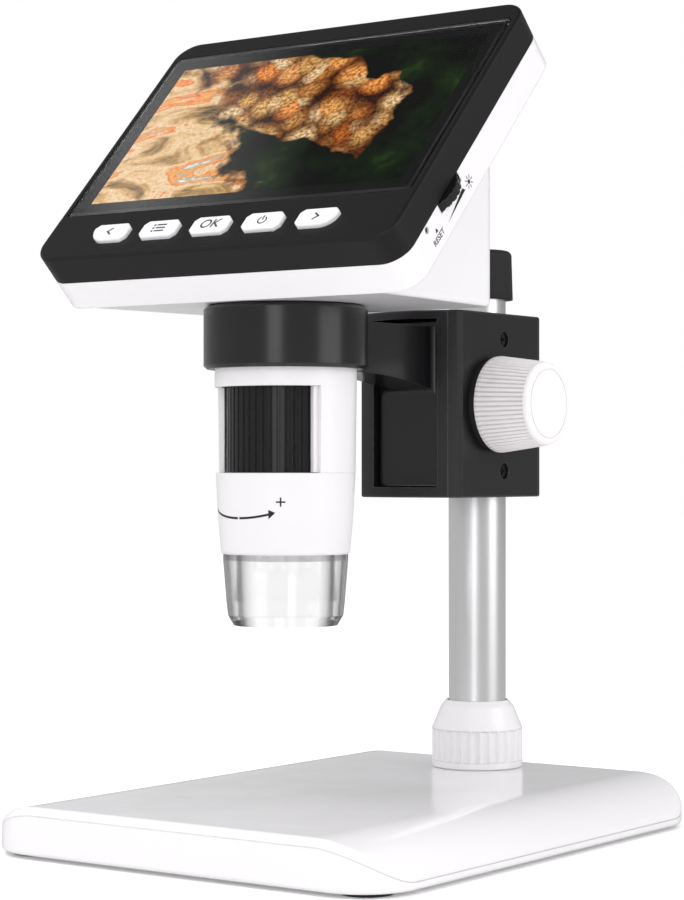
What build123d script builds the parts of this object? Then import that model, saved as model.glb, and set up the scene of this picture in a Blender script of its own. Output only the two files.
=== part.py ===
"""Digital microscope with a tilted colour screen, on a table stand with a rack-and-pinion carriage.

Millimetres. The origin is on the table under the middle of the base, +Z is up, and the user
faces the screen looking along +Y. The optical axis stands in front of the post, over the stage.
"""
from build123d import *
import os
from math import acos, cos, pi, radians, sin, sqrt, tan

os.makedirs("parts", exist_ok=True)

# ---------------------------------------------------------------- clearances
run_fit = 0.05        # radial clearance of a turning or sliding fit
seat_gap = 0.1        # clearance round a piece that drops into a seat
slip_gap = 0.25       # clearance round a key in its opening
stop_gap = 0.4        # clearance at the end of a travel

# ---------------------------------------------------------------- stand base
base_width = 121.0
base_depth = 151.0
base_corner = 15.0    # corner radius in plan
base_height = 11.9    # tray underside to the stage
base_shoulder = 18.3  # width of the curved shoulder beside the level stage
base_rim = 3.0        # height at which a shoulder meets the side wall
base_round = 1.9      # round-over along the stage's outer edge
tray_round = 1.1      # round-over along the tray's lower edge
lid_thick = 2.1
lid_rim = 1.9         # height of the joint between lid and tray along the sides
tray_floor = 1.8
tray_wall = 2.4
foot_height = 1.0     # how far a rubber foot stands proud
foot_radius = 6.5
foot_sink = 0.8
foot_inset = 10.8     # foot axis to the side and to the front of the base
base_screw_side = 22.5    # side of the base to the screws
base_screw_end = 9.5      # end of the base to the screws
weight_side = 18.5    # side of the base to the weight
weight_back = 39.0    # rear edge of the base to the weight
weight_thick = 4.0
weight_front = 16.0   # front edge of the base to the weight
weight_hole = 5.0     # holes that clear the screw bosses
weight_corner = 6.0

# ---------------------------------------------------------------- post and its nut
post_back = 16.7      # rear edge of the base to the post's axis
post_radius = 7.9
post_wall = 1.5
post_above = 15.2     # carriage's top to the post's upper end
post_foot = 3.8       # tray underside to the post's lower end
plug_length = 14.0
collar_radius = 10.2
collar_height = 11.0
nut_radius = 12.5
nut_height = 18.4
nut_shoulder = 11.4   # height at which the nut starts to narrow
nut_top_radius = 10.0
nut_ribs = 30
nut_flute = 0.55
nut_bore_gap = 0.3    # between the post and the nut's upper bore
cap_radius = 9.9
cap_height = 13.5
cap_top = 3.2         # rubber over the end of the post

# ---------------------------------------------------------------- optical barrel
reach = 87.9          # post axis to the optical axis
working_gap = 43.5    # stage to the lower end of the clear tip
tip_height = 17.6
tip_radius = 15.5
tip_mouth = 12.9      # outer radius at the lower end
tip_bore = 12.4
tip_neck = 1.8        # how far the tip reaches into the shroud
shroud_height = 20.0
shroud_foot = 16.0    # outer radius at the shroud's lower end
shroud_radius = 17.3
shell_height = 41.4
shell_radius = 17.6
shell_wall = 1.7
window_height = 21.1
window_middle = -91.5   # direction of the window's middle, degrees from +X
window_span = 135.2     # angle that the window opens
focus_radius = 15.6
focus_height = 21.7
focus_grooves = 48
focus_groove = 0.35
guide_radius = 13.4
guide_wall = 1.0
shroud_lining = 15.0    # bore of the shroud below its bearing
bearing_height = 4.0
cable_hole = 8.5
led_ring = 10.4         # radius of the circle of lamps
led_radius = 1.5
led_count = 8
led_bore = 6.5
board_thick = 1.2
lens_radius = 5.4
carrier_height = 12.0
carrier_rise = 9.0      # lamp board to the lens carrier's lower end
lens_travel = 5.0       # each way from the middle
pin_radius = 0.9
sensor_drop = 14.0      # head underside to the image sensor's board

# ---------------------------------------------------------------- screen head
screen_tilt = 46.1      # screen plane from level, degrees
screen_shift = 0.26     # screen centre behind the optical axis
slab_width = 108.8
slab_above = 38.2       # screen centre to the slab's upper edge
slab_below = 48.2       # screen centre to the slab's lower edge
slab_corner = 6.5
bezel_front = 0.9       # bezel face above the display surface
bezel_depth = 8.1
bezel_wall = 2.0
bezel_face = 2.8
band_depth = 8.5        # white band behind the bezel
housing_wall = 2.2
edge_round = 0.8
window_width = 105.0
window_high = 64.0
window_corner = 1.5
display_width = 101.0
display_high = 59.8
display_thick = 1.8
lamp_width = 103.0      # backlight outline
lamp_high = 63.0
lamp_thick = 2.6
wedge_back = 35.0       # optical axis to the flat back of the housing
wedge_half = 43.1       # half width of the housing's back at the optical axis
wedge_taper = 5.4       # plan taper of its sides, degrees
wedge_corner = 6.0
wedge_round = 1.2
head_gap = 0.3          # holder ring to the head's underside

# ---------------------------------------------------------------- keys, dial, reset and sockets
key_names = ("key_previous", "key_menu", "key_ok", "key_power", "key_next")
key_pitch = 15.8
key_width = 14.2
key_height = 8.0
key_row = -41.1         # key row's height on the screen plane
key_proud = 1.1
key_corner = 1.6
key_sweep = 6.0         # large outer corner of the first and last key
key_bevel = 0.7
key_flange = 0.55
key_travel = 0.5
key_board_width = 93.0
key_board_high = 9.0
key_board_post = 2.7    # end of the key board to its post
switch_radius = 2.4
switch_height = 0.8
board_side_gap = 1.2    # main board to the housing wall
main_board_above = 30.5
main_board_below = 39.0
main_board_thick = 1.6
dial_radius = 8.5
dial_proud = 1.94
dial_thick = 2.2
dial_row = -22.3
dial_notches = 24
dial_bore = 1.5
dial_base = 4.0         # radius of the dial's potentiometer
reset_row = -35.6
reset_behind = 1.2      # seam to the reset hole's axis
reset_hole = 0.8
reset_pin = 0.65
reset_length = 3.0
reset_sunk = 0.4
reset_travel = 0.4
usb_row = 9.0
usb_width = 7.8
usb_high = 2.8
usb_depth = 5.6
card_row = -9.0
card_width = 12.0
card_high = 1.7
card_depth = 12.0
battery_size = (54.0, 6.8, 38.0)
screw_side = 49.0       # housing screws from the middle of the screen
screw_above = 34.1
screw_below = 43.0
screw_radius = 1.15
screw_head = 2.6
screw_length = 10.6
boss_radius = 2.2

# ---------------------------------------------------------------- holder and its slide
ring_radius = 20.37
ring_height = 15.5
ring_lip = 0.5
ring_chamfer = 0.8
liner_radius = 18.9
arm_width = 14.0
arm_drop = 2.5          # ring top to the arm's top
arm_deep = 19.2         # ring top to the arm's lower edge at the slide
arm_flare = 2.3         # round where the arm meets the slide
pad_width = 19.6
pad_thick = 3.2
pad_bevel = 0.4
flange_width = 25.2
flange_thick = 2.4
travel_up = 1.0
travel_down = 20.0

# ---------------------------------------------------------------- carriage
carriage_width = 32.4
carriage_height = 49.4
carriage_ahead = 36.9   # post axis to the middle of the bowed front
carriage_behind = 10.05 # post axis to the flat back
carriage_bow = 3.6
carriage_corner = 5.0
carriage_bevel = 0.9
carriage_rise = 1.4     # head underside to the carriage's top
cover_thick = 3.2
rail_top = 2.2
rail_bottom = 2.7
rail_back = 0.2         # rails' back face to the front of the slide's pad
bush_radius = 9.6
cover_screw_ahead = 11.8    # post axis to the cover screws
cover_screw_span = 35.4
cover_screw_hole = 2.2
cover_screw_core = 1.1
cover_screw_length = 8.2
knob_ahead = 17.3       # post axis to the knob's axis
knob_below = 24.6       # carriage top to the knob's axis
knob_radius = 12.85
knob_end_radius = 10.9
knob_length = 15.5
knob_gap = 1.8          # thickness of the washer behind the knob
knob_ribs = 60
knob_groove = 0.4
washer_radius = 12.4
shaft_radius = 2.5
shaft_end = 12.0        # shaft's blind end from the middle plane
gear_module = 0.8
gear_teeth = 14
gear_width = 6.0
gear_backlash = 0.16
gear_angle = 20.0
rack_width = 6.4
rack_length = 28.2      # toothed length
rack_tail = 12.8        # plain foot of the rack, where its screws are

# ---------------------------------------------------------------- places worked out from the sizes
stage_z = foot_height + base_height
base_flat = base_width - 2 * base_shoulder
base_screw_x = base_width / 2 - base_screw_side
base_screw_y = base_depth / 2 - base_screw_end
weight_width = base_width - 2 * weight_side
weight_depth = base_depth - weight_front - weight_back
post_y = base_depth / 2 - post_back
barrel_y = post_y - reach
tip_z = stage_z + working_gap
shroud_z = tip_z + tip_height
shell_z = shroud_z + shroud_height
head_z = shell_z + shell_height
window_top = shell_z + window_height
bezel_back = bezel_front - bezel_depth
slab_back = bezel_back - band_depth
tilt = radians(screen_tilt)
screen_y = barrel_y + screen_shift
screen_z = head_z + slab_below * sin(tilt) - slab_back * cos(tilt)
screen = Plane(origin=(0, screen_y, screen_z), x_dir=(1, 0, 0), z_dir=(0, -sin(tilt), cos(tilt)))
ring_top = head_z - head_gap
ring_z = ring_top - ring_height
carriage_top = head_z + carriage_rise
carriage_z = carriage_top - carriage_height
post_top = carriage_top + post_above
carriage_side = carriage_width / 2
cover_x = carriage_side - cover_thick
front_y = post_y - carriage_ahead
knob_y = post_y - knob_ahead
knob_z = carriage_top - knob_below
pitch_radius = gear_module * gear_teeth / 2
tooth_pitch = pi * gear_module
addendum = gear_module
dedendum = 1.25 * gear_module
rack_line = knob_y - pitch_radius       # pitch line of the rack
pad_y = front_y + carriage_bow - 0.1    # front face of the slide's pad
flange_y = pad_y + pad_thick
rack_y = flange_y + flange_thick
pad_top = carriage_top - rail_top - stop_gap
pad_bottom = carriage_z + rail_bottom + stop_gap
key_post_x = key_board_width / 2 - key_board_post
main_board_width = slab_width - 2 * (housing_wall + board_side_gap)
main_board_back = slab_back + housing_wall
main_board_front = main_board_back + main_board_thick
board_z = shroud_z + tip_neck + seat_gap   # underside of the lamp board
guide_z = board_z + board_thick
carrier_z = board_z + carrier_rise
barrel_axis = Plane(origin=(0, barrel_y, 0))
post_axis = Plane(origin=(0, post_y, 0))


def on_screen(across, up, out):
    """A point given along the screen's width, height and outward normal."""
    return screen.from_local_coords(Vector(across, up, out))


def screen_at(out):
    """The plane parallel to the screen at a height above the display surface."""
    return screen.offset(out)


def screen_box(across, up, out, half=1.0, mode=Mode.ADD):
    """A block square to the screen, given by its ranges across, up and outward."""
    middle = [(a + b) / 2 for a, b in (across, up, out)]
    size = [abs(b - a) for a, b in (across, up, out)]
    with Locations(screen.location * Location(tuple(middle))):
        return Box(*size, mode=mode)


def slab_outline(inset, out):
    """The slab's rounded outline, drawn in by a wall's thickness."""
    with BuildSketch(screen_at(out)) as outline:
        with Locations((0, (slab_above - slab_below) / 2)):
            RectangleRounded(
                slab_width - 2 * inset, slab_above + slab_below - 2 * inset, slab_corner - inset
            )
    return outline.sketch


def key_outline(place, out, grow=0.0):
    """One key's outline: cut corners, and a large outer corner on the first and last key."""
    across = (place - 2) * key_pitch
    with BuildSketch(screen_at(out)) as outline:
        with Locations((across, key_row)):
            Rectangle(key_width, key_height)
        corners = outline.vertices()
        swept = [v for v in corners if abs(place - 2) == 2 and v.Y < key_row and abs(v.X) > abs(across)]
        cut = [v for v in corners if v not in swept]
        chamfer(cut, key_corner)
        if swept:
            low = [v for v in outline.vertices() if v.Y < key_row and abs(v.X) > abs(across)]
            fillet(low, key_sweep)
        if grow:
            offset(amount=grow, kind=Kind.INTERSECTION)
    return outline.sketch


def wedge(inset):
    """The housing's back: tapered in plan, level underneath, upright behind, open to the slab."""
    corner = on_screen(0, -slab_below + inset, slab_back + inset)
    bite = on_screen(0, -slab_below + inset + 1.0, slab_back + inset + 2.0)
    back = barrel_y + wedge_back - inset
    up = (back - screen_y + (slab_back + inset + 2.0) * sin(tilt)) / cos(tilt)
    peak = on_screen(0, up, slab_back + inset + 2.0)
    low = head_z + inset
    slope = tan(radians(wedge_taper))
    front = corner.Y - barrel_y - 4.0
    half_front = wedge_half - inset - front * slope
    half_back = wedge_half - inset - (wedge_back - inset) * slope
    with BuildPart() as body:
        with BuildSketch(barrel_axis.offset(low)):
            with BuildLine():
                Polyline(
                    (-half_front, front), (half_front, front), (half_back, wedge_back - inset),
                    (-half_back, wedge_back - inset), close=True,
                )
            make_face()
            fillet(vertices().sort_by(Axis.Y)[-2:], wedge_corner - inset)
        extrude(amount=peak.Z - low)
        with BuildSketch(Plane.YZ):
            with BuildLine():
                Polyline(
                    (bite.Y, bite.Z), (corner.Y + 0.45 * inset, low), (back, low), (back, peak.Z),
                    close=True,
                )
            make_face()
        extrude(amount=slab_width, both=True, mode=Mode.INTERSECT)
    return body.part


def base_section(top, side):
    """A section across the base: a level top that falls in one arc to each side."""
    edge = base_flat / 2
    across = base_width / 2 - edge
    arc_radius = (across ** 2 + (top - side) ** 2) / (2 * (top - side))
    past = across + 2.0
    low = top - arc_radius + sqrt(arc_radius ** 2 - past ** 2)
    with BuildSketch(Plane.XZ.offset(-base_depth)) as section:
        with BuildLine():
            Line((-edge, top), (edge, top))
            TangentArc((edge, top), (edge + past, low), tangent=(1, 0))
            Polyline((edge + past, low), (edge + past, -1), (-edge - past, -1), (-edge - past, low))
            TangentArc((-edge, top), (-edge - past, low), tangent=(-1, 0))
        make_face()
    return section.sketch


def base_outline(inset, height):
    """The base's rounded outline in plan, drawn in by a wall's thickness."""
    with BuildSketch(Plane.XY.offset(height)) as outline:
        RectangleRounded(base_width - 2 * inset, base_depth - 2 * inset, base_corner - inset)
    return outline.sketch


def is_rim(edge):
    """True for the edges where the stage and its shoulders meet the side wall."""
    box = edge.bounding_box()
    seam = box.size.X < 0.01 and abs(edge.center().X) < base_flat / 2 + 0.1
    return box.min.Z > foot_height + base_rim - 0.1 and not seam


def base_block():
    """The closed outer form of lid and tray together, before they are parted."""
    with BuildPart() as block:
        extrude(base_outline(0, foot_height), amount=base_height + 1)
        extrude(base_section(stage_z, foot_height + base_rim), amount=2 * base_depth,
                mode=Mode.INTERSECT)
        fillet(block.edges().filter_by(is_rim), base_round)
        fillet(block.faces().sort_by(Axis.Z)[0].edges(), tray_round)
    return block.part


def screw_shape(plane, head_radius, head_height, radius, length):
    """A pan-head screw: head on the plane, shank along the plane's normal, a cross in the head."""
    with BuildPart() as screw:
        with BuildSketch(plane):
            Circle(head_radius)
        extrude(amount=head_height)
        with BuildSketch(plane.offset(head_height)):
            Circle(radius)
        extrude(amount=length)
        with BuildSketch(plane):
            Rectangle(1.2 * head_radius, 0.3 * head_radius)
            Rectangle(0.3 * head_radius, 1.2 * head_radius)
        extrude(amount=0.55 * head_height, mode=Mode.SUBTRACT)
    return screw.part


# ---------------------------------------------------------------- stand base
parting = base_section(stage_z - lid_thick, foot_height + lid_rim)
floor_z = foot_height + tray_floor
post_z = foot_height + post_foot
boss_z = foot_height + 5.0            # joint between a screw's two bosses
screw_seat = boss_z - 1.6             # under the head of a base screw

with BuildPart() as base_shell:
    add(base_block())
    extrude(parting, amount=2 * base_depth, mode=Mode.SUBTRACT)
    under_lid = stage_z - lid_thick + 0.5
    with Locations((0, post_y, stage_z - 0.5)):
        Cylinder(collar_radius, collar_height + 0.5, align=(Align.CENTER, Align.CENTER, Align.MIN))
    with Locations((0, post_y, post_z + seat_gap)):
        Cylinder(post_radius + 3.6, under_lid - post_z - seat_gap,
                 align=(Align.CENTER, Align.CENTER, Align.MIN))
    chamfer(base_shell.edges().filter_by(GeomType.CIRCLE).sort_by(Axis.Z)[-1], 0.4)
    with Locations((0, post_y, post_z)):
        Cylinder(post_radius + run_fit, stage_z + collar_height - post_z + 1,
                 align=(Align.CENTER, Align.CENTER, Align.MIN), mode=Mode.SUBTRACT)
    with Locations((0, 0, boss_z)):
        with GridLocations(2 * base_screw_x, 2 * base_screw_y, 2, 2):
            Cylinder(3.5, under_lid - boss_z, align=(Align.CENTER, Align.CENTER, Align.MIN))
            Cylinder(1.5, stage_z - 2.0 - boss_z, align=(Align.CENTER, Align.CENTER, Align.MIN),
                     mode=Mode.SUBTRACT)
base_shell.part.label = "base_shell"
export_step(base_shell.part, "parts/base_shell.step")

with BuildPart() as base_tray:
    add(base_block())
    extrude(parting, amount=2 * base_depth, mode=Mode.INTERSECT)
    extrude(base_outline(tray_wall, floor_z), amount=base_height, mode=Mode.SUBTRACT)
    with Locations((0, post_y, foot_height + 1)):
        Cylinder(post_radius + 3.6, post_foot - 1, align=(Align.CENTER, Align.CENTER, Align.MIN))
    with Locations((0, 0, foot_height + 1)):
        with GridLocations(2 * base_screw_x, 2 * base_screw_y, 2, 2):
            Cylinder(4.5, boss_z - foot_height - 1, align=(Align.CENTER, Align.CENTER, Align.MIN))
    with Locations((0, 0, foot_height)):
        with GridLocations(2 * base_screw_x, 2 * base_screw_y, 2, 2):
            Cylinder(3.0, 2 * (screw_seat - foot_height), mode=Mode.SUBTRACT)
            Cylinder(1.6, 20, mode=Mode.SUBTRACT)
        with GridLocations(base_width - 2 * foot_inset, base_depth - 2 * foot_inset, 2, 2):
            Cylinder(foot_radius + seat_gap, 2 * foot_sink, mode=Mode.SUBTRACT)
    with Locations((0, post_y, foot_height)):
        Cylinder(3.8, 4.0, mode=Mode.SUBTRACT)
        Cylinder(2.1, 20, mode=Mode.SUBTRACT)
base_tray.part.label = "base_tray"
export_step(base_tray.part, "parts/base_tray.step")

with BuildPart() as base_weight:
    with BuildSketch(Plane.XY.offset(floor_z)):
        with Locations((0, -base_depth / 2 + weight_front + weight_depth / 2)):
            RectangleRounded(weight_width, weight_depth, weight_corner)
        with GridLocations(2 * base_screw_x, 2 * base_screw_y, 2, 2):
            Circle(weight_hole, mode=Mode.SUBTRACT)
    extrude(amount=weight_thick)
    chamfer(base_weight.faces().sort_by(Axis.Z)[-1].edges(), 0.4)
base_weight.part.label = "base_weight"
export_step(base_weight.part, "parts/base_weight.step")

with BuildPart() as base_screws:
    for across in (-base_screw_x, base_screw_x):
        for along in (-base_screw_y, base_screw_y):
            seat = Plane(origin=(across, along, screw_seat - 1.5))
            add(screw_shape(seat, 2.8, 1.5, 1.45, stage_z - 2.4 - screw_seat))
base_screws.part.label = "base_screws"
export_step(base_screws.part, "parts/base_screws.step")

with BuildPart() as feet:
    with BuildSketch():
        with GridLocations(base_width - 2 * foot_inset, base_depth - 2 * foot_inset, 2, 2):
            Circle(foot_radius)
    extrude(amount=foot_height + foot_sink)
    chamfer(feet.edges().group_by(Axis.Z)[0], 0.4)
feet.part.label = "feet"
export_step(feet.part, "parts/feet.step")

# ---------------------------------------------------------------- post
post_length = post_top - post_z
cap_z = post_top + cap_top - cap_height

with BuildPart() as post:
    with BuildSketch(post_axis.offset(post_z)):
        Circle(post_radius)
        Circle(post_radius - post_wall, mode=Mode.SUBTRACT)
    extrude(amount=post_length)
post.part.label = "post"
export_step(post.part, "parts/post.step")

with BuildPart() as post_plug:
    with BuildSketch(post_axis.offset(post_z)):
        Circle(post_radius - post_wall - run_fit)
        Circle(2.05, mode=Mode.SUBTRACT)
    extrude(amount=plug_length)
    chamfer(post_plug.faces().sort_by(Axis.Z)[-1].edges().sort_by(SortBy.LENGTH)[-1], 0.6)
post_plug.part.label = "post_plug"
export_step(post_plug.part, "parts/post_plug.step")

with BuildPart() as post_screw:
    add(screw_shape(post_axis.offset(foot_height + 0.2), 3.6, 1.8, 2.0, 13.0))
post_screw.part.label = "post_screw"
export_step(post_screw.part, "parts/post_screw.step")

with BuildPart() as post_cap:
    with BuildSketch(Plane.YZ):
        with BuildLine():
            Polyline(
                (post_y, cap_z), (post_y + cap_radius, cap_z),
                (post_y + cap_radius - 0.4, cap_z + cap_height), (post_y, cap_z + cap_height),
                close=True,
            )
        make_face()
        fillet(vertices().sort_by(Axis.Y)[-2:].sort_by(Axis.X)[-1], 1.5)
    revolve(axis=Axis((0, post_y, 0), (0, 0, 1)))
    with BuildSketch(post_axis.offset(cap_z)):
        Circle(post_radius + run_fit)
    extrude(amount=cap_height - cap_top, mode=Mode.SUBTRACT)
post_cap.part.label = "post_cap"
export_step(post_cap.part, "parts/post_cap.step")

nut_z = stage_z + run_fit
collet_z = stage_z + collar_height
collet_top = nut_z + nut_height - 2.4
collet_foot_radius = 9.4
collet_top_radius = 8.7

with BuildPart() as clamp_nut:
    axis_y = post_y
    nut_mouth = axis_y + post_radius + nut_bore_gap
    with BuildSketch(Plane.YZ):
        with BuildLine():
            Polyline(
                (nut_mouth, nut_z + nut_height), (nut_mouth, collet_top + 0.2),
                (axis_y + collet_top_radius + 0.2, collet_top + 0.2),
                (axis_y + collet_foot_radius + 0.2, collet_z + 0.2),
                (axis_y + collar_radius + run_fit, collet_z + 0.2),
                (axis_y + collar_radius + run_fit, nut_z), (axis_y + nut_radius, nut_z),
                (axis_y + nut_radius, nut_z + nut_shoulder - 0.6),
                (axis_y + nut_radius - 0.3, nut_z + nut_shoulder),
                (axis_y + nut_top_radius, nut_z + nut_height - 1.6),
                (axis_y + 8.6, nut_z + nut_height), close=True,
            )
        make_face()
        fillet(vertices().sort_by(Axis.Y)[-3], 1.2)
    revolve(axis=Axis((0, axis_y, 0), (0, 0, 1)))
    with BuildSketch(post_axis.offset(nut_z + 1.9)):
        with PolarLocations(nut_radius + 1.6 - nut_flute, nut_ribs):
            Circle(1.6)
    extrude(amount=8.6, mode=Mode.SUBTRACT)
    chamfer(clamp_nut.edges().filter_by(GeomType.CIRCLE).group_by(Axis.Z)[0].sort_by(SortBy.RADIUS)[-1],
            0.3)
clamp_nut.part.label = "clamp_nut"
export_step(clamp_nut.part, "parts/clamp_nut.step")

with BuildPart() as post_collet:
    with BuildSketch(Plane.YZ):
        with BuildLine():
            Polyline(
                (post_y + post_radius + run_fit, collet_z),
                (post_y + collet_foot_radius, collet_z),
                (post_y + collet_top_radius, collet_top),
                (post_y + post_radius + run_fit, collet_top), close=True,
            )
        make_face()
    revolve(axis=Axis((0, post_y, 0), (0, 0, 1)))
    with Locations((0, post_y - post_radius, collet_z)):
        Box(0.8, 6, 2 * (collet_top - collet_z) + 2, mode=Mode.SUBTRACT)
post_collet.part.label = "post_collet"
export_step(post_collet.part, "parts/post_collet.step")

# ---------------------------------------------------------------- carriage
with BuildPart() as post_bush:
    with BuildSketch(post_axis.offset(carriage_z + 0.5)):
        Circle(bush_radius)
        Circle(post_radius + run_fit, mode=Mode.SUBTRACT)
    extrude(amount=carriage_height - 1)
post_bush.part.label = "post_bush"
export_step(post_bush.part, "parts/post_bush.step")

rail_y = pad_y - rail_back
window_half = pad_width / 2 + stop_gap
slot_half = flange_width / 2 + stop_gap
cover_screw_y = post_y - cover_screw_ahead
cover_screw_z = [carriage_top - 7.0, carriage_top - 7.0 - cover_screw_span]


def carriage_body():
    """Block and cover together: bowed front, round back, and the channel for the slide."""
    with BuildPart() as body:
        with BuildSketch(Plane.XY.offset(carriage_z)):
            with BuildLine():
                bow = ThreePointArc(
                    (-carriage_side, front_y + carriage_bow), (0, front_y),
                    (carriage_side, front_y + carriage_bow),
                )
                Polyline(
                    bow @ 1, (carriage_side, post_y + carriage_behind),
                    (-carriage_side, post_y + carriage_behind), bow @ 0,
                )
            make_face()
            fillet(vertices().sort_by(Axis.Y)[-2:], carriage_corner)
            chamfer(vertices().filter_by(lambda v: v.Y < front_y + carriage_bow + 0.1), carriage_bevel)
        extrude(amount=carriage_height)
        chamfer(body.faces().sort_by(Axis.Z)[-1].edges(), 0.35)
        chamfer(body.faces().sort_by(Axis.Z)[0].edges(), 0.35)
        with BuildSketch(post_axis.offset(carriage_z)):
            Circle(bush_radius + run_fit)
        extrude(amount=carriage_height, mode=Mode.SUBTRACT)
        with BuildSketch(Plane.XY.offset(carriage_z + rail_bottom)):
            with Locations((0, rail_y)):
                Rectangle(2 * window_half, 12)
        extrude(amount=carriage_height - rail_bottom - rail_top, mode=Mode.SUBTRACT)
        with BuildSketch(Plane.XY.offset(carriage_z)):
            with Locations((0, (rail_y + flange_y + 0.1) / 2)):
                Rectangle(2 * window_half, flange_y + 0.1 - rail_y)
            with Locations((0, (flange_y - 0.1 + rack_y + 0.25) / 2)):
                Rectangle(2 * slot_half, rack_y - flange_y + 0.35)
            with Locations((0, (rack_y + rack_line + addendum + 0.45) / 2)):
                Rectangle(rack_width + 1.0, rack_line + addendum + 0.45 - rack_y)
        extrude(amount=pad_top + travel_up + 0.5 - carriage_z, mode=Mode.SUBTRACT)
        with BuildSketch(Plane.YZ.offset(-gear_width / 2 - 1.2)):
            with Locations((knob_y, knob_z)):
                Circle(pitch_radius + addendum + 0.3)
        extrude(amount=cover_x + gear_width / 2 + 1.2, mode=Mode.SUBTRACT)
        with BuildSketch(Plane.YZ.offset(-shaft_end - 0.3)):
            with Locations((knob_y, knob_z)):
                Circle(shaft_radius + run_fit)
        extrude(amount=2 * carriage_width, mode=Mode.SUBTRACT)
        with BuildSketch(Plane.YZ.offset(5.5)):
            with Locations(*[(cover_screw_y, z) for z in cover_screw_z]):
                Circle(cover_screw_core + run_fit)
        extrude(amount=carriage_width, mode=Mode.SUBTRACT)
        with BuildSketch(Plane.YZ.offset(cover_x + 1.2)):
            with Locations(*[(cover_screw_y, z) for z in cover_screw_z]):
                Circle(cover_screw_hole)
        extrude(amount=carriage_width, mode=Mode.SUBTRACT)
    return body.part


with BuildPart() as carriage_block:
    add(carriage_body())
    split(bisect_by=Plane.YZ.offset(cover_x), keep=Keep.BOTTOM)
carriage_block.part.label = "carriage_block"
export_step(carriage_block.part, "parts/carriage_block.step")

with BuildPart() as carriage_cover:
    add(carriage_body())
    split(bisect_by=Plane.YZ.offset(cover_x), keep=Keep.TOP)
carriage_cover.part.label = "carriage_cover"
export_step(carriage_cover.part, "parts/carriage_cover.step")

with BuildPart() as carriage_screws:
    for height in cover_screw_z:
        seat = Plane(origin=(cover_x + 2.4, cover_screw_y, height), x_dir=(0, 1, 0), z_dir=(-1, 0, 0))
        add(screw_shape(seat, cover_screw_hole - 0.1, 1.2, cover_screw_core, cover_screw_length))
carriage_screws.part.label = "carriage_screws"
export_step(carriage_screws.part, "parts/carriage_screws.step")

# ---------------------------------------------------------------- slide with the holder ring
with BuildPart() as holder_arm:
    with BuildSketch(Plane.YZ.offset(-arm_width / 2)):
        with BuildLine():
            start = barrel_y + ring_radius - ring_chamfer - 0.1
            belly = TangentArc((start, ring_z), (pad_y + 0.1, ring_top - arm_deep), tangent=(1, 0))
            Polyline(
                belly @ 1, (pad_y + 0.1, ring_top - arm_drop), (start, ring_top - arm_drop), (start, ring_z)
            )
        make_face()
    extrude(amount=arm_width)
    with BuildSketch(Plane.XZ.offset(-flange_y)):
        with Locations((0, (pad_top + pad_bottom) / 2)):
            Rectangle(pad_width, pad_top - pad_bottom)
    extrude(amount=pad_thick)
    rim = [
        e for e in holder_arm.edges()
        if abs(e.center().Y - pad_y) < 0.01 and (
            abs(abs(e.center().X) - pad_width / 2) < 0.01
            or e.center().Z > pad_top - 0.01 or e.center().Z < pad_bottom + 0.01)
    ]
    chamfer(rim, pad_bevel)
    root = [
        e for e in holder_arm.edges()
        if abs(e.center().Y - pad_y) < 0.01 and abs(e.center().X) < arm_width / 2 + 0.01
        and pad_bottom + 1 < e.center().Z < ring_top - arm_drop - 0.1
    ]
    fillet(root, arm_flare)
    with BuildSketch(Plane.XZ.offset(-rack_y)):
        with Locations((0, (pad_top + pad_bottom) / 2)):
            Rectangle(flange_width, pad_top - pad_bottom)
    extrude(amount=flange_thick)
    with BuildSketch(Plane.YZ):
        with BuildLine():
            Polyline(
                (barrel_y + shell_radius + 0.3, ring_z), (barrel_y + ring_radius - ring_chamfer, ring_z),
                (barrel_y + ring_radius, ring_z + ring_chamfer),
                (barrel_y + ring_radius, ring_top - ring_chamfer),
                (barrel_y + ring_radius - ring_chamfer, ring_top),
                (barrel_y + shell_radius + 0.3, ring_top), close=True,
            )
        make_face()
    revolve(axis=Axis((0, barrel_y, 0), (0, 0, 1)))
    with BuildSketch(barrel_axis.offset(ring_z + ring_lip)):
        Circle(liner_radius + run_fit)
    extrude(amount=ring_height, mode=Mode.SUBTRACT)
    for height in (pad_bottom + 5.5, pad_bottom + 11.5):
        with Locations(Location((0, rack_y, height), (90, 0, 0))):
            Cylinder(1.0, 2 * 4.2, mode=Mode.SUBTRACT)
holder_arm.part.label = "holder_arm"
export_step(holder_arm.part, "parts/holder_arm.step")

flank = tan(radians(gear_angle))
rack_tip = tooth_pitch / 4 - addendum * flank - gear_backlash / 2
rack_foot = tooth_pitch / 4 + dedendum * flank - gear_backlash / 2
rack_base = rack_line - dedendum

with BuildPart() as slider_rack:
    outline = [(rack_y, pad_top), (rack_y, pad_top - rack_length - rack_tail),
               (rack_base, pad_top - rack_length - rack_tail)]
    first = -int((knob_z - (pad_top - rack_length) - 1.0) / tooth_pitch)
    last = int((pad_top - knob_z - 1.0) / tooth_pitch)
    for tooth in range(first, last + 1):
        middle = knob_z + (tooth - 0.5) * tooth_pitch
        outline += [
            (rack_base, middle - rack_foot), (rack_line + addendum, middle - rack_tip),
            (rack_line + addendum, middle + rack_tip), (rack_base, middle + rack_foot),
        ]
    outline.append((rack_base, pad_top))
    with BuildSketch(Plane.YZ.offset(-rack_width / 2)):
        with BuildLine():
            Polyline(*outline, close=True)
        make_face()
    extrude(amount=rack_width)
    for height in (pad_bottom + 5.5, pad_bottom + 11.5):
        with Locations(Location((0, rack_base, height), (90, 0, 0))):
            Cylinder(1.0, 20, mode=Mode.SUBTRACT)
            Cylinder(1.7, 2 * 1.3, mode=Mode.SUBTRACT)
slider_rack.part.label = "slider_rack"
export_step(slider_rack.part, "parts/slider_rack.step")

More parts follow.
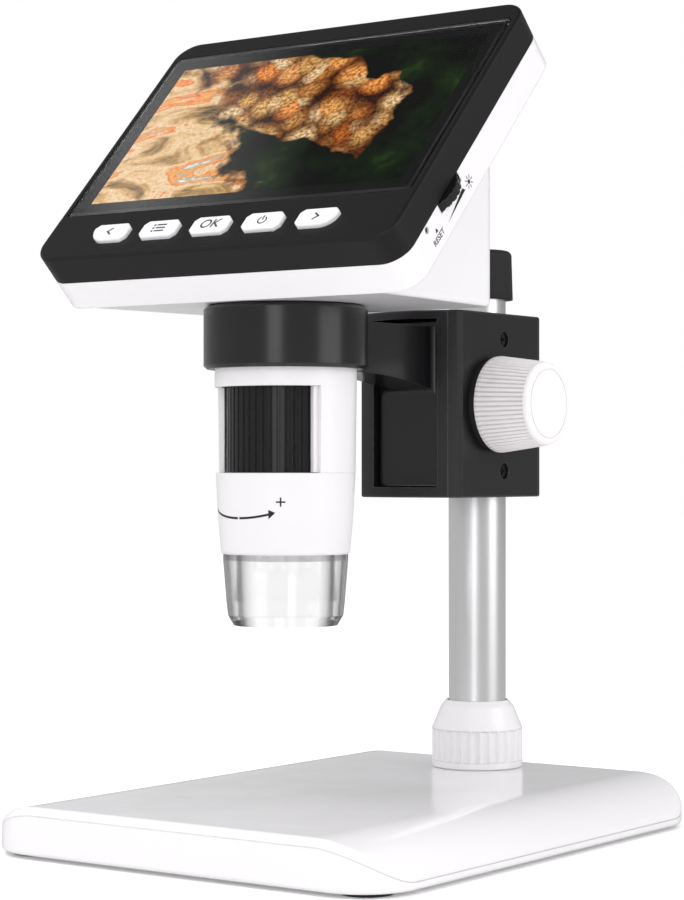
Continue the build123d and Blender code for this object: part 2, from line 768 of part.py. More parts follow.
with BuildPart() as rack_screws:
    for height in (pad_bottom + 5.5, pad_bottom + 11.5):
        seat = Plane(origin=(0, rack_base - 0.1, height), x_dir=(1, 0, 0), z_dir=(0, -1, 0))
        add(screw_shape(seat, 1.6, 1.2, 0.95, rack_base - rack_y + 2.4))
rack_screws.part.label = "rack_screws"
export_step(rack_screws.part, "parts/rack_screws.step")

# ---------------------------------------------------------------- pinion and knob
base_circle = pitch_radius * cos(radians(gear_angle))
tip_circle = pitch_radius + addendum
root_circle = pitch_radius - dedendum


def involute_turn(radius):
    """Angle in radians by which an involute has turned from its base circle at a radius."""
    slope = sqrt(max(radius * radius / base_circle ** 2 - 1, 0))
    return slope - acos(min(base_circle / radius, 1))


def pinion_points():
    """The pinion's outline about its centre, with one tooth pointing to the rack."""
    half = pi / (2 * gear_teeth) + involute_turn(pitch_radius)
    radii = [base_circle + (tip_circle - base_circle) * step / 5 for step in range(6)]
    points = []
    for tooth in range(gear_teeth):
        middle = pi + 2 * pi * tooth / gear_teeth
        points.append((root_circle, middle - half))
        points += [(r, middle - half + involute_turn(r)) for r in radii]
        points += [(r, middle + half - involute_turn(r)) for r in reversed(radii)]
        points.append((root_circle, middle + half))
    return [(r * cos(a), r * sin(a)) for r, a in points]


with BuildPart() as pinion:
    with BuildSketch(Plane.YZ.offset(-gear_width / 2)):
        with BuildLine():
            Polyline(*[(knob_y + y, knob_z + z) for y, z in pinion_points()], close=True)
        make_face()
        with Locations((knob_y, knob_z)):
            Circle(shaft_radius, mode=Mode.SUBTRACT)
    extrude(amount=gear_width)
pinion.part.label = "pinion"
export_step(pinion.part, "parts/pinion.step")

knob_x = carriage_side + knob_gap
knob_end = knob_x + knob_length

with BuildPart() as pinion_shaft:
    with BuildSketch(Plane.YZ.offset(-shaft_end)):
        with Locations((knob_y, knob_z)):
            Circle(shaft_radius)
    extrude(amount=shaft_end + knob_end - 3.5)
    chamfer(pinion_shaft.edges(), 0.3)
pinion_shaft.part.label = "pinion_shaft"
export_step(pinion_shaft.part, "parts/pinion_shaft.step")

with BuildPart() as knob_washer:
    with BuildSketch(Plane.YZ.offset(carriage_side + run_fit)):
        with Locations((knob_y, knob_z)):
            Circle(washer_radius)
            Circle(shaft_radius, mode=Mode.SUBTRACT)
    extrude(amount=knob_gap - run_fit)
knob_washer.part.label = "knob_washer"
export_step(knob_washer.part, "parts/knob_washer.step")


def ribbed_ring(radius, across):
    """A closed outline of the knob's ribs at one end of its grip."""
    points = []
    for rib in range(knob_ribs):
        for part, depth in ((0.0, 0.0), (0.28, 0.0), (0.5, knob_groove), (0.78, knob_groove)):
            angle = 2 * pi * (rib + part) / knob_ribs
            points.append((knob_y + (radius - depth) * cos(angle), knob_z + (radius - depth) * sin(angle)))
    with BuildSketch(Plane.YZ.offset(across)) as ring:
        with BuildLine():
            Polyline(*points, close=True)
        make_face()
    return ring.sketch


with BuildPart() as focus_knob:
    grip_start = knob_x + 1.3
    grip_end = knob_end - 1.5
    with BuildSketch(Plane.YZ.offset(knob_x)):
        with Locations((knob_y, knob_z)):
            Circle(knob_radius)
    extrude(amount=1.3)
    loft([ribbed_ring(knob_radius, grip_start), ribbed_ring(knob_end_radius + 0.25, grip_end)],
         ruled=True)
    with BuildSketch(Plane.YZ.offset(grip_end)):
        with Locations((knob_y, knob_z)):
            Circle(knob_end_radius + 0.1)
    extrude(amount=1.5)
    fillet(focus_knob.edges().filter_by(GeomType.CIRCLE).sort_by(Axis.X)[-1], 1.2)
    chamfer(focus_knob.edges().filter_by(GeomType.CIRCLE).sort_by(Axis.X)[0], 0.3)
    with BuildSketch(Plane.YZ.offset(knob_end - 0.25)):
        with Locations((knob_y, knob_z)):
            Circle(knob_end_radius - 1.6)
            Circle(knob_end_radius - 2.0, mode=Mode.SUBTRACT)
    extrude(amount=1, mode=Mode.SUBTRACT)
    with BuildSketch(Plane.YZ.offset(knob_x)):
        with Locations((knob_y, knob_z)):
            Circle(shaft_radius)
    extrude(amount=knob_length - 3.3, mode=Mode.SUBTRACT)
focus_knob.part.label = "focus_knob"
export_step(focus_knob.part, "parts/focus_knob.step")

with BuildPart() as holder_liner:
    with BuildSketch(barrel_axis.offset(ring_z + ring_lip)):
        Circle(liner_radius)
        Circle(shell_radius + run_fit, mode=Mode.SUBTRACT)
    extrude(amount=head_z - ring_z - ring_lip)
holder_liner.part.label = "holder_liner"
export_step(holder_liner.part, "parts/holder_liner.step")

# ---------------------------------------------------------------- screen head: bezel and display
back_of_face = bezel_front - bezel_face
flange_top = back_of_face - run_fit
flange_foot = flange_top - 1.1
plunger_foot = -4.3
board_top = plunger_foot - key_travel - 0.1 - switch_height
board_foot = board_top - 1.0
screw_places = [(x, y) for x in (-screw_side, screw_side) for y in (-screw_below, screw_above)]

with BuildPart() as front_bezel:
    extrude(slab_outline(0, bezel_back), amount=bezel_depth)
    front = front_bezel.faces().filter_by(lambda f: f.normal_at().dot(screen.z_dir) > 0.999)
    fillet(front.sort_by(SortBy.AREA)[-1].edges(), edge_round)
    extrude(slab_outline(bezel_wall, bezel_back), amount=bezel_depth - bezel_face, mode=Mode.SUBTRACT)
    with BuildSketch(screen_at(0)):
        RectangleRounded(window_width + 0.3, window_high + 0.3, window_corner + 0.15)
    extrude(amount=5, mode=Mode.SUBTRACT)
    with BuildSketch(screen_at(bezel_back)):
        Rectangle(display_width + 0.6, display_high + 0.6)
    extrude(amount=bezel_depth, mode=Mode.SUBTRACT)
    for place in range(5):
        extrude(key_outline(place, bezel_back, slip_gap), amount=bezel_depth + 1, mode=Mode.SUBTRACT)
    with BuildSketch(screen_at(bezel_back)):
        with Locations(*screw_places):
            Circle(boss_radius)
    extrude(amount=back_of_face + 0.5 - bezel_back)
    with BuildSketch(screen_at(board_top)):
        with Locations((-key_post_x, key_row), (key_post_x, key_row)):
            Circle(1.8)
    extrude(amount=back_of_face + 0.5 - board_top)
    with BuildSketch(screen_at(bezel_back)):
        with Locations(*screw_places):
            Circle(screw_radius + run_fit)
    extrude(amount=4.6, mode=Mode.SUBTRACT)
front_bezel.part.label = "front_bezel"
export_step(front_bezel.part, "parts/front_bezel.step")

with BuildPart() as display_window:
    with BuildSketch(screen_at(0)):
        RectangleRounded(window_width, window_high, window_corner)
    extrude(amount=bezel_front)
    front = display_window.faces().filter_by(lambda f: f.normal_at().dot(screen.z_dir) > 0.999)
    chamfer(front.edges(), 0.2)
display_window.part.label = "display_window"
export_step(display_window.part, "parts/display_window.step")

with BuildPart() as lcd_panel:
    with BuildSketch(screen_at(back_of_face)):
        Rectangle(display_width, display_high)
    extrude(amount=display_thick)
lcd_panel.part.label = "lcd_panel"
export_step(lcd_panel.part, "parts/lcd_panel.step")

with BuildPart() as lcd_backlight:
    with BuildSketch(screen_at(back_of_face)):
        RectangleRounded(lamp_width, lamp_high, 1.0)
    extrude(amount=-lamp_thick)
lcd_backlight.part.label = "lcd_backlight"
export_step(lcd_backlight.part, "parts/lcd_backlight.step")

for place, name in enumerate(key_names):
    with BuildPart() as key:
        extrude(key_outline(place, flange_top), amount=bezel_front + key_proud - flange_top)
        top = key.faces().filter_by(lambda f: f.normal_at().dot(screen.z_dir) > 0.999)
        chamfer(top.edges(), key_bevel)
        extrude(key_outline(place, flange_foot, key_flange), amount=flange_top - flange_foot)
        with BuildSketch(screen_at(plunger_foot)):
            with Locations(((place - 2) * key_pitch, key_row)):
                Circle(1.5)
        extrude(amount=flange_foot - plunger_foot)
    key.part.label = name
    export_step(key.part, "parts/" + name + ".step")

with BuildPart() as key_switches:
    with BuildSketch(screen_at(board_top)):
        with Locations(*[((place - 2) * key_pitch, key_row) for place in range(5)]):
            Circle(switch_radius)
    extrude(amount=switch_height)
key_switches.part.label = "key_switches"
export_step(key_switches.part, "parts/key_switches.step")

with BuildPart() as key_board:
    with BuildSketch(screen_at(board_foot)):
        with Locations((0, key_row)):
            Rectangle(key_board_width, key_board_high)
    extrude(amount=board_top - board_foot)
key_board.part.label = "key_board"
export_step(key_board.part, "parts/key_board.step")

# ---------------------------------------------------------------- screen head: housing
half_slab = slab_width / 2
dial_x = half_slab + dial_proud - dial_radius
dial_top = bezel_back - 0.3
pot_top = dial_top - dial_thick - 0.2
reset_out = bezel_back - reset_behind
reset_tip = half_slab - reset_sunk
reset_switch_x = reset_tip - reset_length - reset_travel - 0.1
reset_plane = Plane(origin=on_screen(0, reset_row, reset_out), x_dir=screen.y_dir, z_dir=(1, 0, 0))


def wedge_low_edges(part):
    """The wedge's lower edges along its sides and back."""
    low = [e for e in part.edges() if abs(e.bounding_box().max.Z - head_z) < 0.01]
    return [e for e in low if e.center().Y > barrel_y - 20]


with BuildPart() as rear_housing:
    add(wedge(0))
    fillet(wedge_low_edges(rear_housing), wedge_round)
    extrude(slab_outline(0, slab_back), amount=band_depth)
    extrude(slab_outline(housing_wall, slab_back + housing_wall), amount=band_depth, mode=Mode.SUBTRACT)
    add(wedge(housing_wall), mode=Mode.SUBTRACT)
    with BuildSketch(screen_at(slab_back + 1.0)):
        with Locations(*screw_places):
            Circle(3.2)
    extrude(amount=band_depth - 1.0)
    with BuildSketch(screen_at(slab_back)):
        with Locations(*screw_places):
            Circle(screw_radius + 0.2)
    extrude(amount=band_depth, mode=Mode.SUBTRACT)
    with BuildSketch(screen_at(slab_back)):
        with Locations(*screw_places):
            Circle(screw_head + 0.2)
    extrude(amount=1.4, mode=Mode.SUBTRACT)
    with BuildSketch(screen_at(dial_top - dial_thick - 0.2)):
        with Locations((dial_x, dial_row)):
            Circle(dial_radius + 0.3)
    extrude(amount=5, mode=Mode.SUBTRACT)
    with BuildSketch(reset_plane.offset(half_slab - 10)):
        Circle(reset_hole)
    extrude(amount=20, mode=Mode.SUBTRACT)
    port_z = main_board_front
    screen_box((-half_slab - 5, -half_slab + 5), (usb_row - usb_width / 2 - 0.15, usb_row + usb_width / 2 + 0.15),
               (port_z - 0.15, port_z + usb_high + 0.15), mode=Mode.SUBTRACT)
    screen_box((-half_slab - 5, -half_slab + 5),
               (card_row - card_width / 2 - 0.15, card_row + card_width / 2 + 0.15),
               (port_z - 0.15, port_z + card_high + 0.15), mode=Mode.SUBTRACT)
    with BuildSketch(barrel_axis.offset(head_z)):
        Circle(cable_hole)
    extrude(amount=housing_wall + 0.1, mode=Mode.SUBTRACT)
rear_housing.part.label = "rear_housing"
export_step(rear_housing.part, "parts/rear_housing.step")

with BuildPart() as main_board:
    with BuildSketch(screen_at(main_board_back)):
        with Locations((0, (main_board_above - main_board_below) / 2)):
            Rectangle(main_board_width, main_board_above + main_board_below)
    extrude(amount=main_board_thick)
main_board.part.label = "main_board"
export_step(main_board.part, "parts/main_board.step")

with BuildPart() as battery:
    wide, deep, tall = battery_size
    with BuildSketch(Plane.XY.offset(head_z + housing_wall)):
        with Locations((0, barrel_y + wedge_back - housing_wall - deep / 2)):
            RectangleRounded(wide, deep, 2.0)
    extrude(amount=tall)
battery.part.label = "battery"
export_step(battery.part, "parts/battery.step")

with BuildPart() as housing_screws:
    for across, up in screw_places:
        seat = Plane(origin=on_screen(across, up, slab_back + 0.2), x_dir=(1, 0, 0), z_dir=screen.z_dir)
        add(screw_shape(seat, screw_head, 1.2, screw_radius, screw_length))
housing_screws.part.label = "housing_screws"
export_step(housing_screws.part, "parts/housing_screws.step")

with BuildPart() as brightness_dial:
    with BuildSketch(screen_at(dial_top - dial_thick)):
        with Locations((dial_x, dial_row)):
            Circle(dial_radius)
            Circle(dial_bore, mode=Mode.SUBTRACT)
            with PolarLocations(dial_radius + 0.35, dial_notches):
                Circle(0.65, mode=Mode.SUBTRACT)
    extrude(amount=dial_thick)
brightness_dial.part.label = "brightness_dial"
export_step(brightness_dial.part, "parts/brightness_dial.step")

with BuildPart() as dial_potentiometer:
    with BuildSketch(screen_at(main_board_front)):
        with Locations((dial_x, dial_row)):
            Circle(dial_base)
    extrude(amount=pot_top - main_board_front)
    with BuildSketch(screen_at(pot_top)):
        with Locations((dial_x, dial_row)):
            Circle(dial_bore - run_fit)
    extrude(amount=dial_top - pot_top)
dial_potentiometer.part.label = "dial_potentiometer"
export_step(dial_potentiometer.part, "parts/dial_potentiometer.step")

with BuildPart() as reset_button:
    with BuildSketch(reset_plane.offset(reset_tip - reset_length)):
        Circle(reset_pin)
    extrude(amount=reset_length)
    with BuildSketch(reset_plane.offset(reset_tip - reset_length)):
        Circle(1.2)
    extrude(amount=0.7)
reset_button.part.label = "reset_button"
export_step(reset_button.part, "parts/reset_button.step")

with BuildPart() as reset_switch:
    screen_box((reset_switch_x - 3.6, reset_switch_x), (reset_row - 1.8, reset_row + 1.8),
               (main_board_front, reset_out + 1.3))
reset_switch.part.label = "reset_switch"
export_step(reset_switch.part, "parts/reset_switch.step")

with BuildPart() as usb_socket:
    left = -half_slab + 0.2
    screen_box((left, left + usb_depth), (usb_row - usb_width / 2, usb_row + usb_width / 2),
               (main_board_front, main_board_front + usb_high))
    screen_box((left - 1, left + usb_depth - 0.6), (usb_row - usb_width / 2 + 0.4, usb_row + usb_width / 2 - 0.4),
               (main_board_front + 0.4, main_board_front + usb_high - 0.4), mode=Mode.SUBTRACT)
    screen_box((left + 0.6, left + usb_depth - 0.5), (usb_row - 2.7, usb_row + 2.7),
               (main_board_front + 1.5, main_board_front + 2.1))
usb_socket.part.label = "usb_socket"
export_step(usb_socket.part, "parts/usb_socket.step")

with BuildPart() as card_socket:
    left = -half_slab + 0.2
    screen_box((left, left + card_depth), (card_row - card_width / 2, card_row + card_width / 2),
               (main_board_front, main_board_front + card_high))
    screen_box((left - 1, left + card_depth - 0.6), (card_row - card_width / 2 + 0.4, card_row + card_width / 2 - 0.4),
               (main_board_front + 0.3, main_board_front + card_high - 0.3), mode=Mode.SUBTRACT)
card_socket.part.label = "card_socket"
export_step(card_socket.part, "parts/card_socket.step")

# ---------------------------------------------------------------- optical barrel
barrel_turn = Axis((0, barrel_y, 0), (0, 0, 1))
guide_bore = guide_radius - guide_wall

with BuildPart() as barrel_shell:
    with BuildSketch(Plane.YZ):
        with BuildLine():
            Polyline(
                (barrel_y + shell_radius - shell_wall, shell_z), (barrel_y + shroud_radius, shell_z),
                (barrel_y + shell_radius, window_top), (barrel_y + shell_radius, head_z),
                (barrel_y + cable_hole, head_z), (barrel_y + cable_hole, head_z - 2.2),
                (barrel_y + shell_radius - shell_wall, head_z - 2.2), close=True,
            )
        make_face()
    revolve(axis=barrel_turn)
    with BuildSketch(barrel_axis.offset(shell_z)):
        with BuildLine():
            window_start = window_middle - window_span / 2
            window_arc = CenterArc((0, 0), 2 * shell_radius, window_start, window_span)
            Line((0, 0), window_arc @ 0)
            Line(window_arc @ 1, (0, 0))
        make_face()
        Circle(shell_radius - shell_wall - 1, mode=Mode.SUBTRACT)
    extrude(amount=window_height, mode=Mode.SUBTRACT)
barrel_shell.part.label = "barrel_shell"
export_step(barrel_shell.part, "parts/barrel_shell.step")

with BuildPart() as barrel_shroud:
    with BuildSketch(Plane.YZ):
        with BuildLine():
            Polyline(
                (barrel_y + shroud_lining, shroud_z), (barrel_y + shroud_foot - 0.3, shroud_z),
                (barrel_y + shroud_foot, shroud_z + 0.5),
                (barrel_y + shroud_foot + 0.7, shroud_z + 8.3), (barrel_y + shroud_radius, shell_z),
                (barrel_y + guide_radius + seat_gap, shell_z),
                (barrel_y + guide_radius + seat_gap, shell_z - bearing_height),
                (barrel_y + shroud_lining, shell_z - bearing_height), close=True,
            )
        make_face()
    revolve(axis=barrel_turn)
barrel_shroud.part.label = "barrel_shroud"
export_step(barrel_shroud.part, "parts/barrel_shroud.step")

with BuildPart() as focus_ring:
    with BuildSketch(barrel_axis.offset(shell_z + seat_gap)):
        Circle(focus_radius)
        with PolarLocations(focus_radius + 0.15, focus_grooves):
            Rectangle(2 * focus_groove + 0.3, 0.8, mode=Mode.SUBTRACT)
        Circle(guide_radius + seat_gap, mode=Mode.SUBTRACT)
    extrude(amount=focus_height)
focus_ring.part.label = "focus_ring"
export_step(focus_ring.part, "parts/focus_ring.step")

with BuildPart() as guide_tube:
    with BuildSketch(barrel_axis.offset(guide_z)):
        Circle(guide_radius)
        Circle(guide_bore, mode=Mode.SUBTRACT)
    extrude(amount=head_z - 2.2 - guide_z)
    with BuildSketch(Plane.XZ.offset(-barrel_y)):
        slot_low = carrier_z + carrier_height / 2 - lens_travel - pin_radius - 0.2
        slot_high = carrier_z + carrier_height / 2 + lens_travel + pin_radius + 0.2
        with Locations((0, (slot_low + slot_high) / 2)):
            SlotOverall(slot_high - slot_low, 2 * pin_radius + 0.2, rotation=90)
    extrude(amount=-2 * guide_radius, mode=Mode.SUBTRACT)
guide_tube.part.label = "guide_tube"
export_step(guide_tube.part, "parts/guide_tube.step")

with BuildPart() as lens_carrier:
    with BuildSketch(barrel_axis.offset(carrier_z)):
        Circle(guide_bore - seat_gap)
        Circle(lens_radius + run_fit, mode=Mode.SUBTRACT)
    extrude(amount=3.0)
    with BuildSketch(barrel_axis.offset(carrier_z + 3.0)):
        Circle(guide_bore - seat_gap)
        Circle(guide_bore - 1.6, mode=Mode.SUBTRACT)
    extrude(amount=carrier_height - 3.0)
    with BuildSketch(Plane.XZ.offset(-(barrel_y + guide_bore - 1.4))):
        with Locations((0, carrier_z + carrier_height / 2)):
            Circle(pin_radius)
    extrude(amount=-(guide_wall + 1.3))
lens_carrier.part.label = "lens_carrier"
export_step(lens_carrier.part, "parts/lens_carrier.step")

with BuildPart() as objective_lens:
    lens_curve = 21.0
    with Locations((0, barrel_y, carrier_z + 1.5)):
        Cylinder(lens_radius, 3.0)
    with Locations((0, barrel_y, carrier_z + 3.0 - lens_curve)):
        Sphere(lens_curve, mode=Mode.INTERSECT)
    with Locations((0, barrel_y, carrier_z + lens_curve)):
        Sphere(lens_curve, mode=Mode.INTERSECT)
objective_lens.part.label = "objective_lens"
export_step(objective_lens.part, "parts/objective_lens.step")

with BuildPart() as sensor_board:
    with BuildSketch(barrel_axis.offset(head_z - sensor_drop)):
        Circle(guide_bore - run_fit)
    extrude(amount=board_thick)
sensor_board.part.label = "sensor_board"
export_step(sensor_board.part, "parts/sensor_board.step")

with BuildPart() as image_sensor:
    with BuildSketch(barrel_axis.offset(head_z - sensor_drop - 1.0)):
        Rectangle(8, 8)
    extrude(amount=1.0)
image_sensor.part.label = "image_sensor"
export_step(image_sensor.part, "parts/image_sensor.step")

with BuildPart() as led_board:
    with BuildSketch(barrel_axis.offset(board_z)):
        Circle(shroud_lining - run_fit)
        Circle(led_bore, mode=Mode.SUBTRACT)
    extrude(amount=board_thick)
led_board.part.label = "led_board"
export_step(led_board.part, "parts/led_board.step")

with BuildPart() as leds:
    with BuildSketch(barrel_axis.offset(board_z - 1.0)):
        with PolarLocations(led_ring, led_count):
            Circle(led_radius)
    extrude(amount=1.0)
leds.part.label = "leds"
export_step(leds.part, "parts/leds.step")

with BuildPart() as clear_tip:
    with BuildSketch(Plane.YZ):
        with BuildLine():
            Polyline(
                (barrel_y + tip_bore, shroud_z + tip_neck),
                (barrel_y + shroud_lining - run_fit, shroud_z + tip_neck),
                (barrel_y + shroud_lining - run_fit, shroud_z), (barrel_y + tip_radius, shroud_z),
                (barrel_y + tip_radius, shroud_z - 1.5), (barrel_y + 14.7, tip_z + 6.1),
                (barrel_y + 14.3, tip_z + 2.4), (barrel_y + tip_mouth, tip_z),
                (barrel_y + 11.6, tip_z), (barrel_y + 11.8, tip_z + 2.4), close=True,
            )
        make_face()
    revolve(axis=barrel_turn)
clear_tip.part.label = "clear_tip"
export_step(clear_tip.part, "parts/clear_tip.step")
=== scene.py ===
"""Finishes, key caps, focus ring, printed marks, screen picture and studio for a digital microscope."""
import math

import bmesh
import bpy
from bpy.props import FloatProperty, FloatVectorProperty, PointerProperty
from mathutils import Matrix, Vector


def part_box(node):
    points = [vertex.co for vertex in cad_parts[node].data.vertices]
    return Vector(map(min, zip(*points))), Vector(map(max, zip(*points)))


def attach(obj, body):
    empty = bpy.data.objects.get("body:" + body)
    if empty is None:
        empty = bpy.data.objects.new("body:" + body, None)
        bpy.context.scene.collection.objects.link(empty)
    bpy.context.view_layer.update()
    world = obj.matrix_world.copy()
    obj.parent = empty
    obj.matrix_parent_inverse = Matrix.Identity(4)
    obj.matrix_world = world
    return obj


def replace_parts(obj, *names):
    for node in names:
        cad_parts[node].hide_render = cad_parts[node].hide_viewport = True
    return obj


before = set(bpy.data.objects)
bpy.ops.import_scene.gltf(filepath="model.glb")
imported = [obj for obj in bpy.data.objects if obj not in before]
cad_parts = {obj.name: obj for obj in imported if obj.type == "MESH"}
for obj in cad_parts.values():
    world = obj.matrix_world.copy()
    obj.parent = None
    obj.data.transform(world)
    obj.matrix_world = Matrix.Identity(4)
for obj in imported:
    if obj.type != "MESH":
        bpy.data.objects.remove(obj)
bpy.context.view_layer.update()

bl_info = {
    "name": "Digital microscope",
    "version": (1, 0, 0),
    "blender": (4, 5, 0),
    "location": "3D View > Sidebar > Microscope",
    "description": "Finishes, printed marks, screen picture and studio of a digital microscope",
    "category": "Add Mesh",
}

# ---- places on the part
mm = 0.001
tilt = math.radians(46.1)
barrel_low, barrel_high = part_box("barrel_shell")
barrel_axis = Vector(((barrel_low.x + barrel_high.x) / 2, (barrel_low.y + barrel_high.y) / 2, 0))
screen_right = Vector((1, 0, 0))
screen_up = Vector((0, math.cos(tilt), math.sin(tilt)))
screen_out = Vector((0, -math.sin(tilt), math.cos(tilt)))


def span(name, direction):
    """The lowest and highest points of a CAD node along a direction."""
    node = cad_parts[name]
    reaches = [(node.matrix_world @ vert.co).dot(direction) for vert in node.data.vertices]
    return min(reaches), max(reaches)


# the origin of the screen's own axes: the middle of the display surface, at the back of the cover glass
glass_up = sum(span("display_window", screen_up)) / 2
glass_back = span("display_window", screen_out)[0]
screen_middle = screen_up * glass_up + screen_out * glass_back
panel_front = span("lcd_panel", screen_out)[1] - glass_back
picture_level = panel_front * 0.6           # the picture and the border lie between the panel and the glass
border_level = panel_front * 0.3
bezel_front = span("front_bezel", screen_out)[1] - glass_back
key_top = span("key_ok", screen_out)[1] - glass_back
key_row = sum(span("key_ok", screen_up)) / 2 - glass_up
half_slab = span("rear_housing", screen_right)[1]

# the keys: a cap stands in each of the bezel's openings, and a surround fills the rest of the opening
key_names = ("previous", "menu", "ok", "power", "next")
key_pitch = 15.8 * mm
key_depth = 1.6 * mm                        # from the bezel's face to the foot of a cap and its surround
opening_size = (14.2 * mm, 8.0 * mm)
opening_cut = 1.6 * mm                      # a corner cut off
opening_sweep = 6.0 * mm                    # radius of the outer lower corner of the first and last key
opening_overlap = 0.24 * mm                 # how far a surround reaches into the bezel
cap_size = (11.4 * mm, 6.0 * mm)
cap_cut = 1.35 * mm
cap_sweep = 4.3 * mm
cap_shift = (-0.8 * mm, 0.85 * mm)          # a cap's middle from its opening's middle
cap_gap = 0.15 * mm                         # between a cap and its surround
cap_rounding = 0.55 * mm

# the focus ring, and the white jamb beside it in the barrel's window
ring_radius = 14.6 * mm
ring_flutes = 48
flute_depth = 0.35 * mm
flute_edges = (-0.2, -0.17, 0.17, 0.2)      # the ends of a flute's two walls, as parts of the pitch
jamb_inside = ring_radius + 0.15 * mm
jamb_width = 1.6 * mm
jamb_start, jamb_sweep = math.radians(-28.8), math.radians(5.0)

# the cover glass, whose printed border runs from near its rim to near the picture
border_size = (104.4 * mm, 63.4 * mm)
border_gap = 0.3 * mm


def screen_matrix(across, up, out):
    """The frame of a point on the screen head: X across, Y up the screen, Z out of it."""
    place = screen_middle + screen_right * across + screen_up * up + screen_out * out
    turn = Matrix((screen_right, screen_up, screen_out)).transposed()
    return Matrix.Translation(place) @ turn.to_4x4()


def side_matrix(up, out):
    """The frame of a point on the head's right side: X up the slope, Y out of the screen, Z to the right."""
    place = screen_middle + screen_right * half_slab + screen_up * up + screen_out * out
    turn = Matrix((screen_up, screen_out, screen_right)).transposed()
    return Matrix.Translation(place) @ turn.to_4x4()


def polar(radius, angle):
    """A flat point at a radius and an angle."""
    return radius * math.cos(angle), radius * math.sin(angle)


def grey(level):
    """An even grey, or a vector with equal parts."""
    return (level, level, level)


# ---- what a user would change
class FinishSettings(bpy.types.PropertyGroup):
    white_plastic: FloatVectorProperty(
        name="White plastic", description="Colour of the base, housing, barrel and nut",
        default=(0.83, 0.812, 0.832), subtype="COLOR", min=0, max=1)
    black_plastic: FloatVectorProperty(
        name="Black plastic", description="Colour of the bezel, arm and carriage",
        default=(0.0095, 0.0088, 0.0098), subtype="COLOR", min=0, max=1)
    knob_plastic: FloatVectorProperty(
        name="Knob", description="Colour of the focus knob",
        default=(0.86, 0.83, 0.84), subtype="COLOR", min=0, max=1)
    # much stronger on the black carriage, where the paler edges are a painted highlight
    wear_and_highlight: FloatProperty(
        name="Edge wear", description="How strongly edges are rubbed paler",
        default=0.35, subtype="FACTOR", min=0, max=1)
    grain_depth: FloatProperty(
        name="Grain depth", description="Depth of the moulded grain on black pieces",
        default=0.00003, unit="LENGTH", min=0, max=0.001)


class ScreenSettings(bpy.types.PropertyGroup):
    width: FloatProperty(
        name="Picture width", description="Width of the lit area",
        default=0.09504, unit="LENGTH", min=0.01, max=0.105)
    height: FloatProperty(
        name="Picture height", description="Height of the lit area",
        default=0.05386, unit="LENGTH", min=0.01, max=0.064)
    brightness: FloatProperty(
        name="Brightness", description="Strength of the backlight", default=1.15, min=0, max=5)


class MarkSettings(bpy.types.PropertyGroup):
    line: FloatProperty(
        name="Line width", description="Width of the printed lines on the keys",
        default=0.0006, unit="LENGTH", min=0.0001, max=0.002)
    ink: FloatProperty(
        name="Ink thickness", description="How far printing stands on its surface",
        default=0.00003, unit="LENGTH", min=0.00001, max=0.0002)
    grey_ink: FloatVectorProperty(
        name="Grey ink", description="Colour of the key symbols",
        default=(0.06, 0.06, 0.065), subtype="COLOR", min=0, max=1)
    black_ink: FloatVectorProperty(
        name="Black ink", description="Colour of the marks on the housing and the barrel",
        default=(0.01, 0.01, 0.01), subtype="COLOR", min=0, max=1)


class StudioSettings(bpy.types.PropertyGroup):
    lens: FloatProperty(
        name="Lens", description="Focal length", default=97.808, unit="CAMERA", min=10, max=300)
    eye: FloatVectorProperty(
        name="Camera place", description="Where the camera stands",
        default=(0.365411, -0.512620, 0.094698), subtype="TRANSLATION")
    heading: FloatProperty(
        name="Heading", description="Turn of the view from straight ahead to the left",
        default=math.radians(35.7617), subtype="ANGLE")
    pitch: FloatProperty(
        name="Pitch", description="Tilt of the view above level",
        default=math.radians(0.4681), subtype="ANGLE")
    side_light: FloatProperty(
        name="Side light", description="Power of the tall lamp on the right",
        default=4.3, unit="POWER", min=0)
    front_light: FloatProperty(
        name="Front light", description="Power of the strip lamp behind the camera",
        default=3.6, unit="POWER", min=0)
    top_light: FloatProperty(
        name="Top light", description="Power of the lamp above",
        default=7.0, unit="POWER", min=0)
    sky: FloatProperty(
        name="Sky", description="Level of the even light from all round", default=0.98, min=0, max=2)
    mirrored: FloatProperty(
        name="Mirrored sky", description="Level of the sky as shiny surfaces show it",
        default=0.5, min=0, max=2)


groups = (
    ("microscope_finish", FinishSettings),
    ("microscope_screen", ScreenSettings),
    ("microscope_marks", MarkSettings),
    ("microscope_studio", StudioSettings),
)


# ---- tools for nodes
shared = {}                                 # every effect and every finish, by its name


def feed(socket, value):
    """Links another node's output to a socket, or types in a number, a vector or a colour."""
    if isinstance(value, bpy.types.NodeSocket):
        socket.id_data.links.new(value, socket)
    elif socket.type == "RGBA":
        socket.default_value = (*value[:3], 1.0)
    else:
        socket.default_value = value


def set_inputs(node, **values):
    """Feeds a node's inputs by their names, with _ for a space."""
    for name, value in values.items():
        feed(node.inputs[name.replace("_", " ")], value)


def enabled(sockets):
    """The sockets that a node's settings leave in use."""
    return [socket for socket in sockets if socket.enabled]


def add_node(tree, kind, place, settings=None, **values):
    """A shader node at a place in its tree, with its settings and inputs."""
    node = tree.nodes.new(kind)
    node.location = place
    for name, value in (settings or {}).items():
        setattr(node, name, value)
    set_inputs(node, **values)
    return node


def math_node(tree, operation, place, *values, kind="ShaderNodeMath"):
    """The result of a Math or Vector Math node."""
    node = add_node(tree, kind, place, {"operation": operation})
    for socket, value in zip(node.inputs, values):
        feed(socket, value)
    return enabled(node.outputs)[0]


def mix_colour(tree, place, factor, first, second, blend="MIX"):
    """The result of mixing two colours."""
    node = add_node(tree, "ShaderNodeMix", place, {"data_type": "RGBA", "blend_type": blend})
    for socket, value in zip(enabled(node.inputs), (factor, first, second)):
        feed(socket, value)
    return enabled(node.outputs)[0]


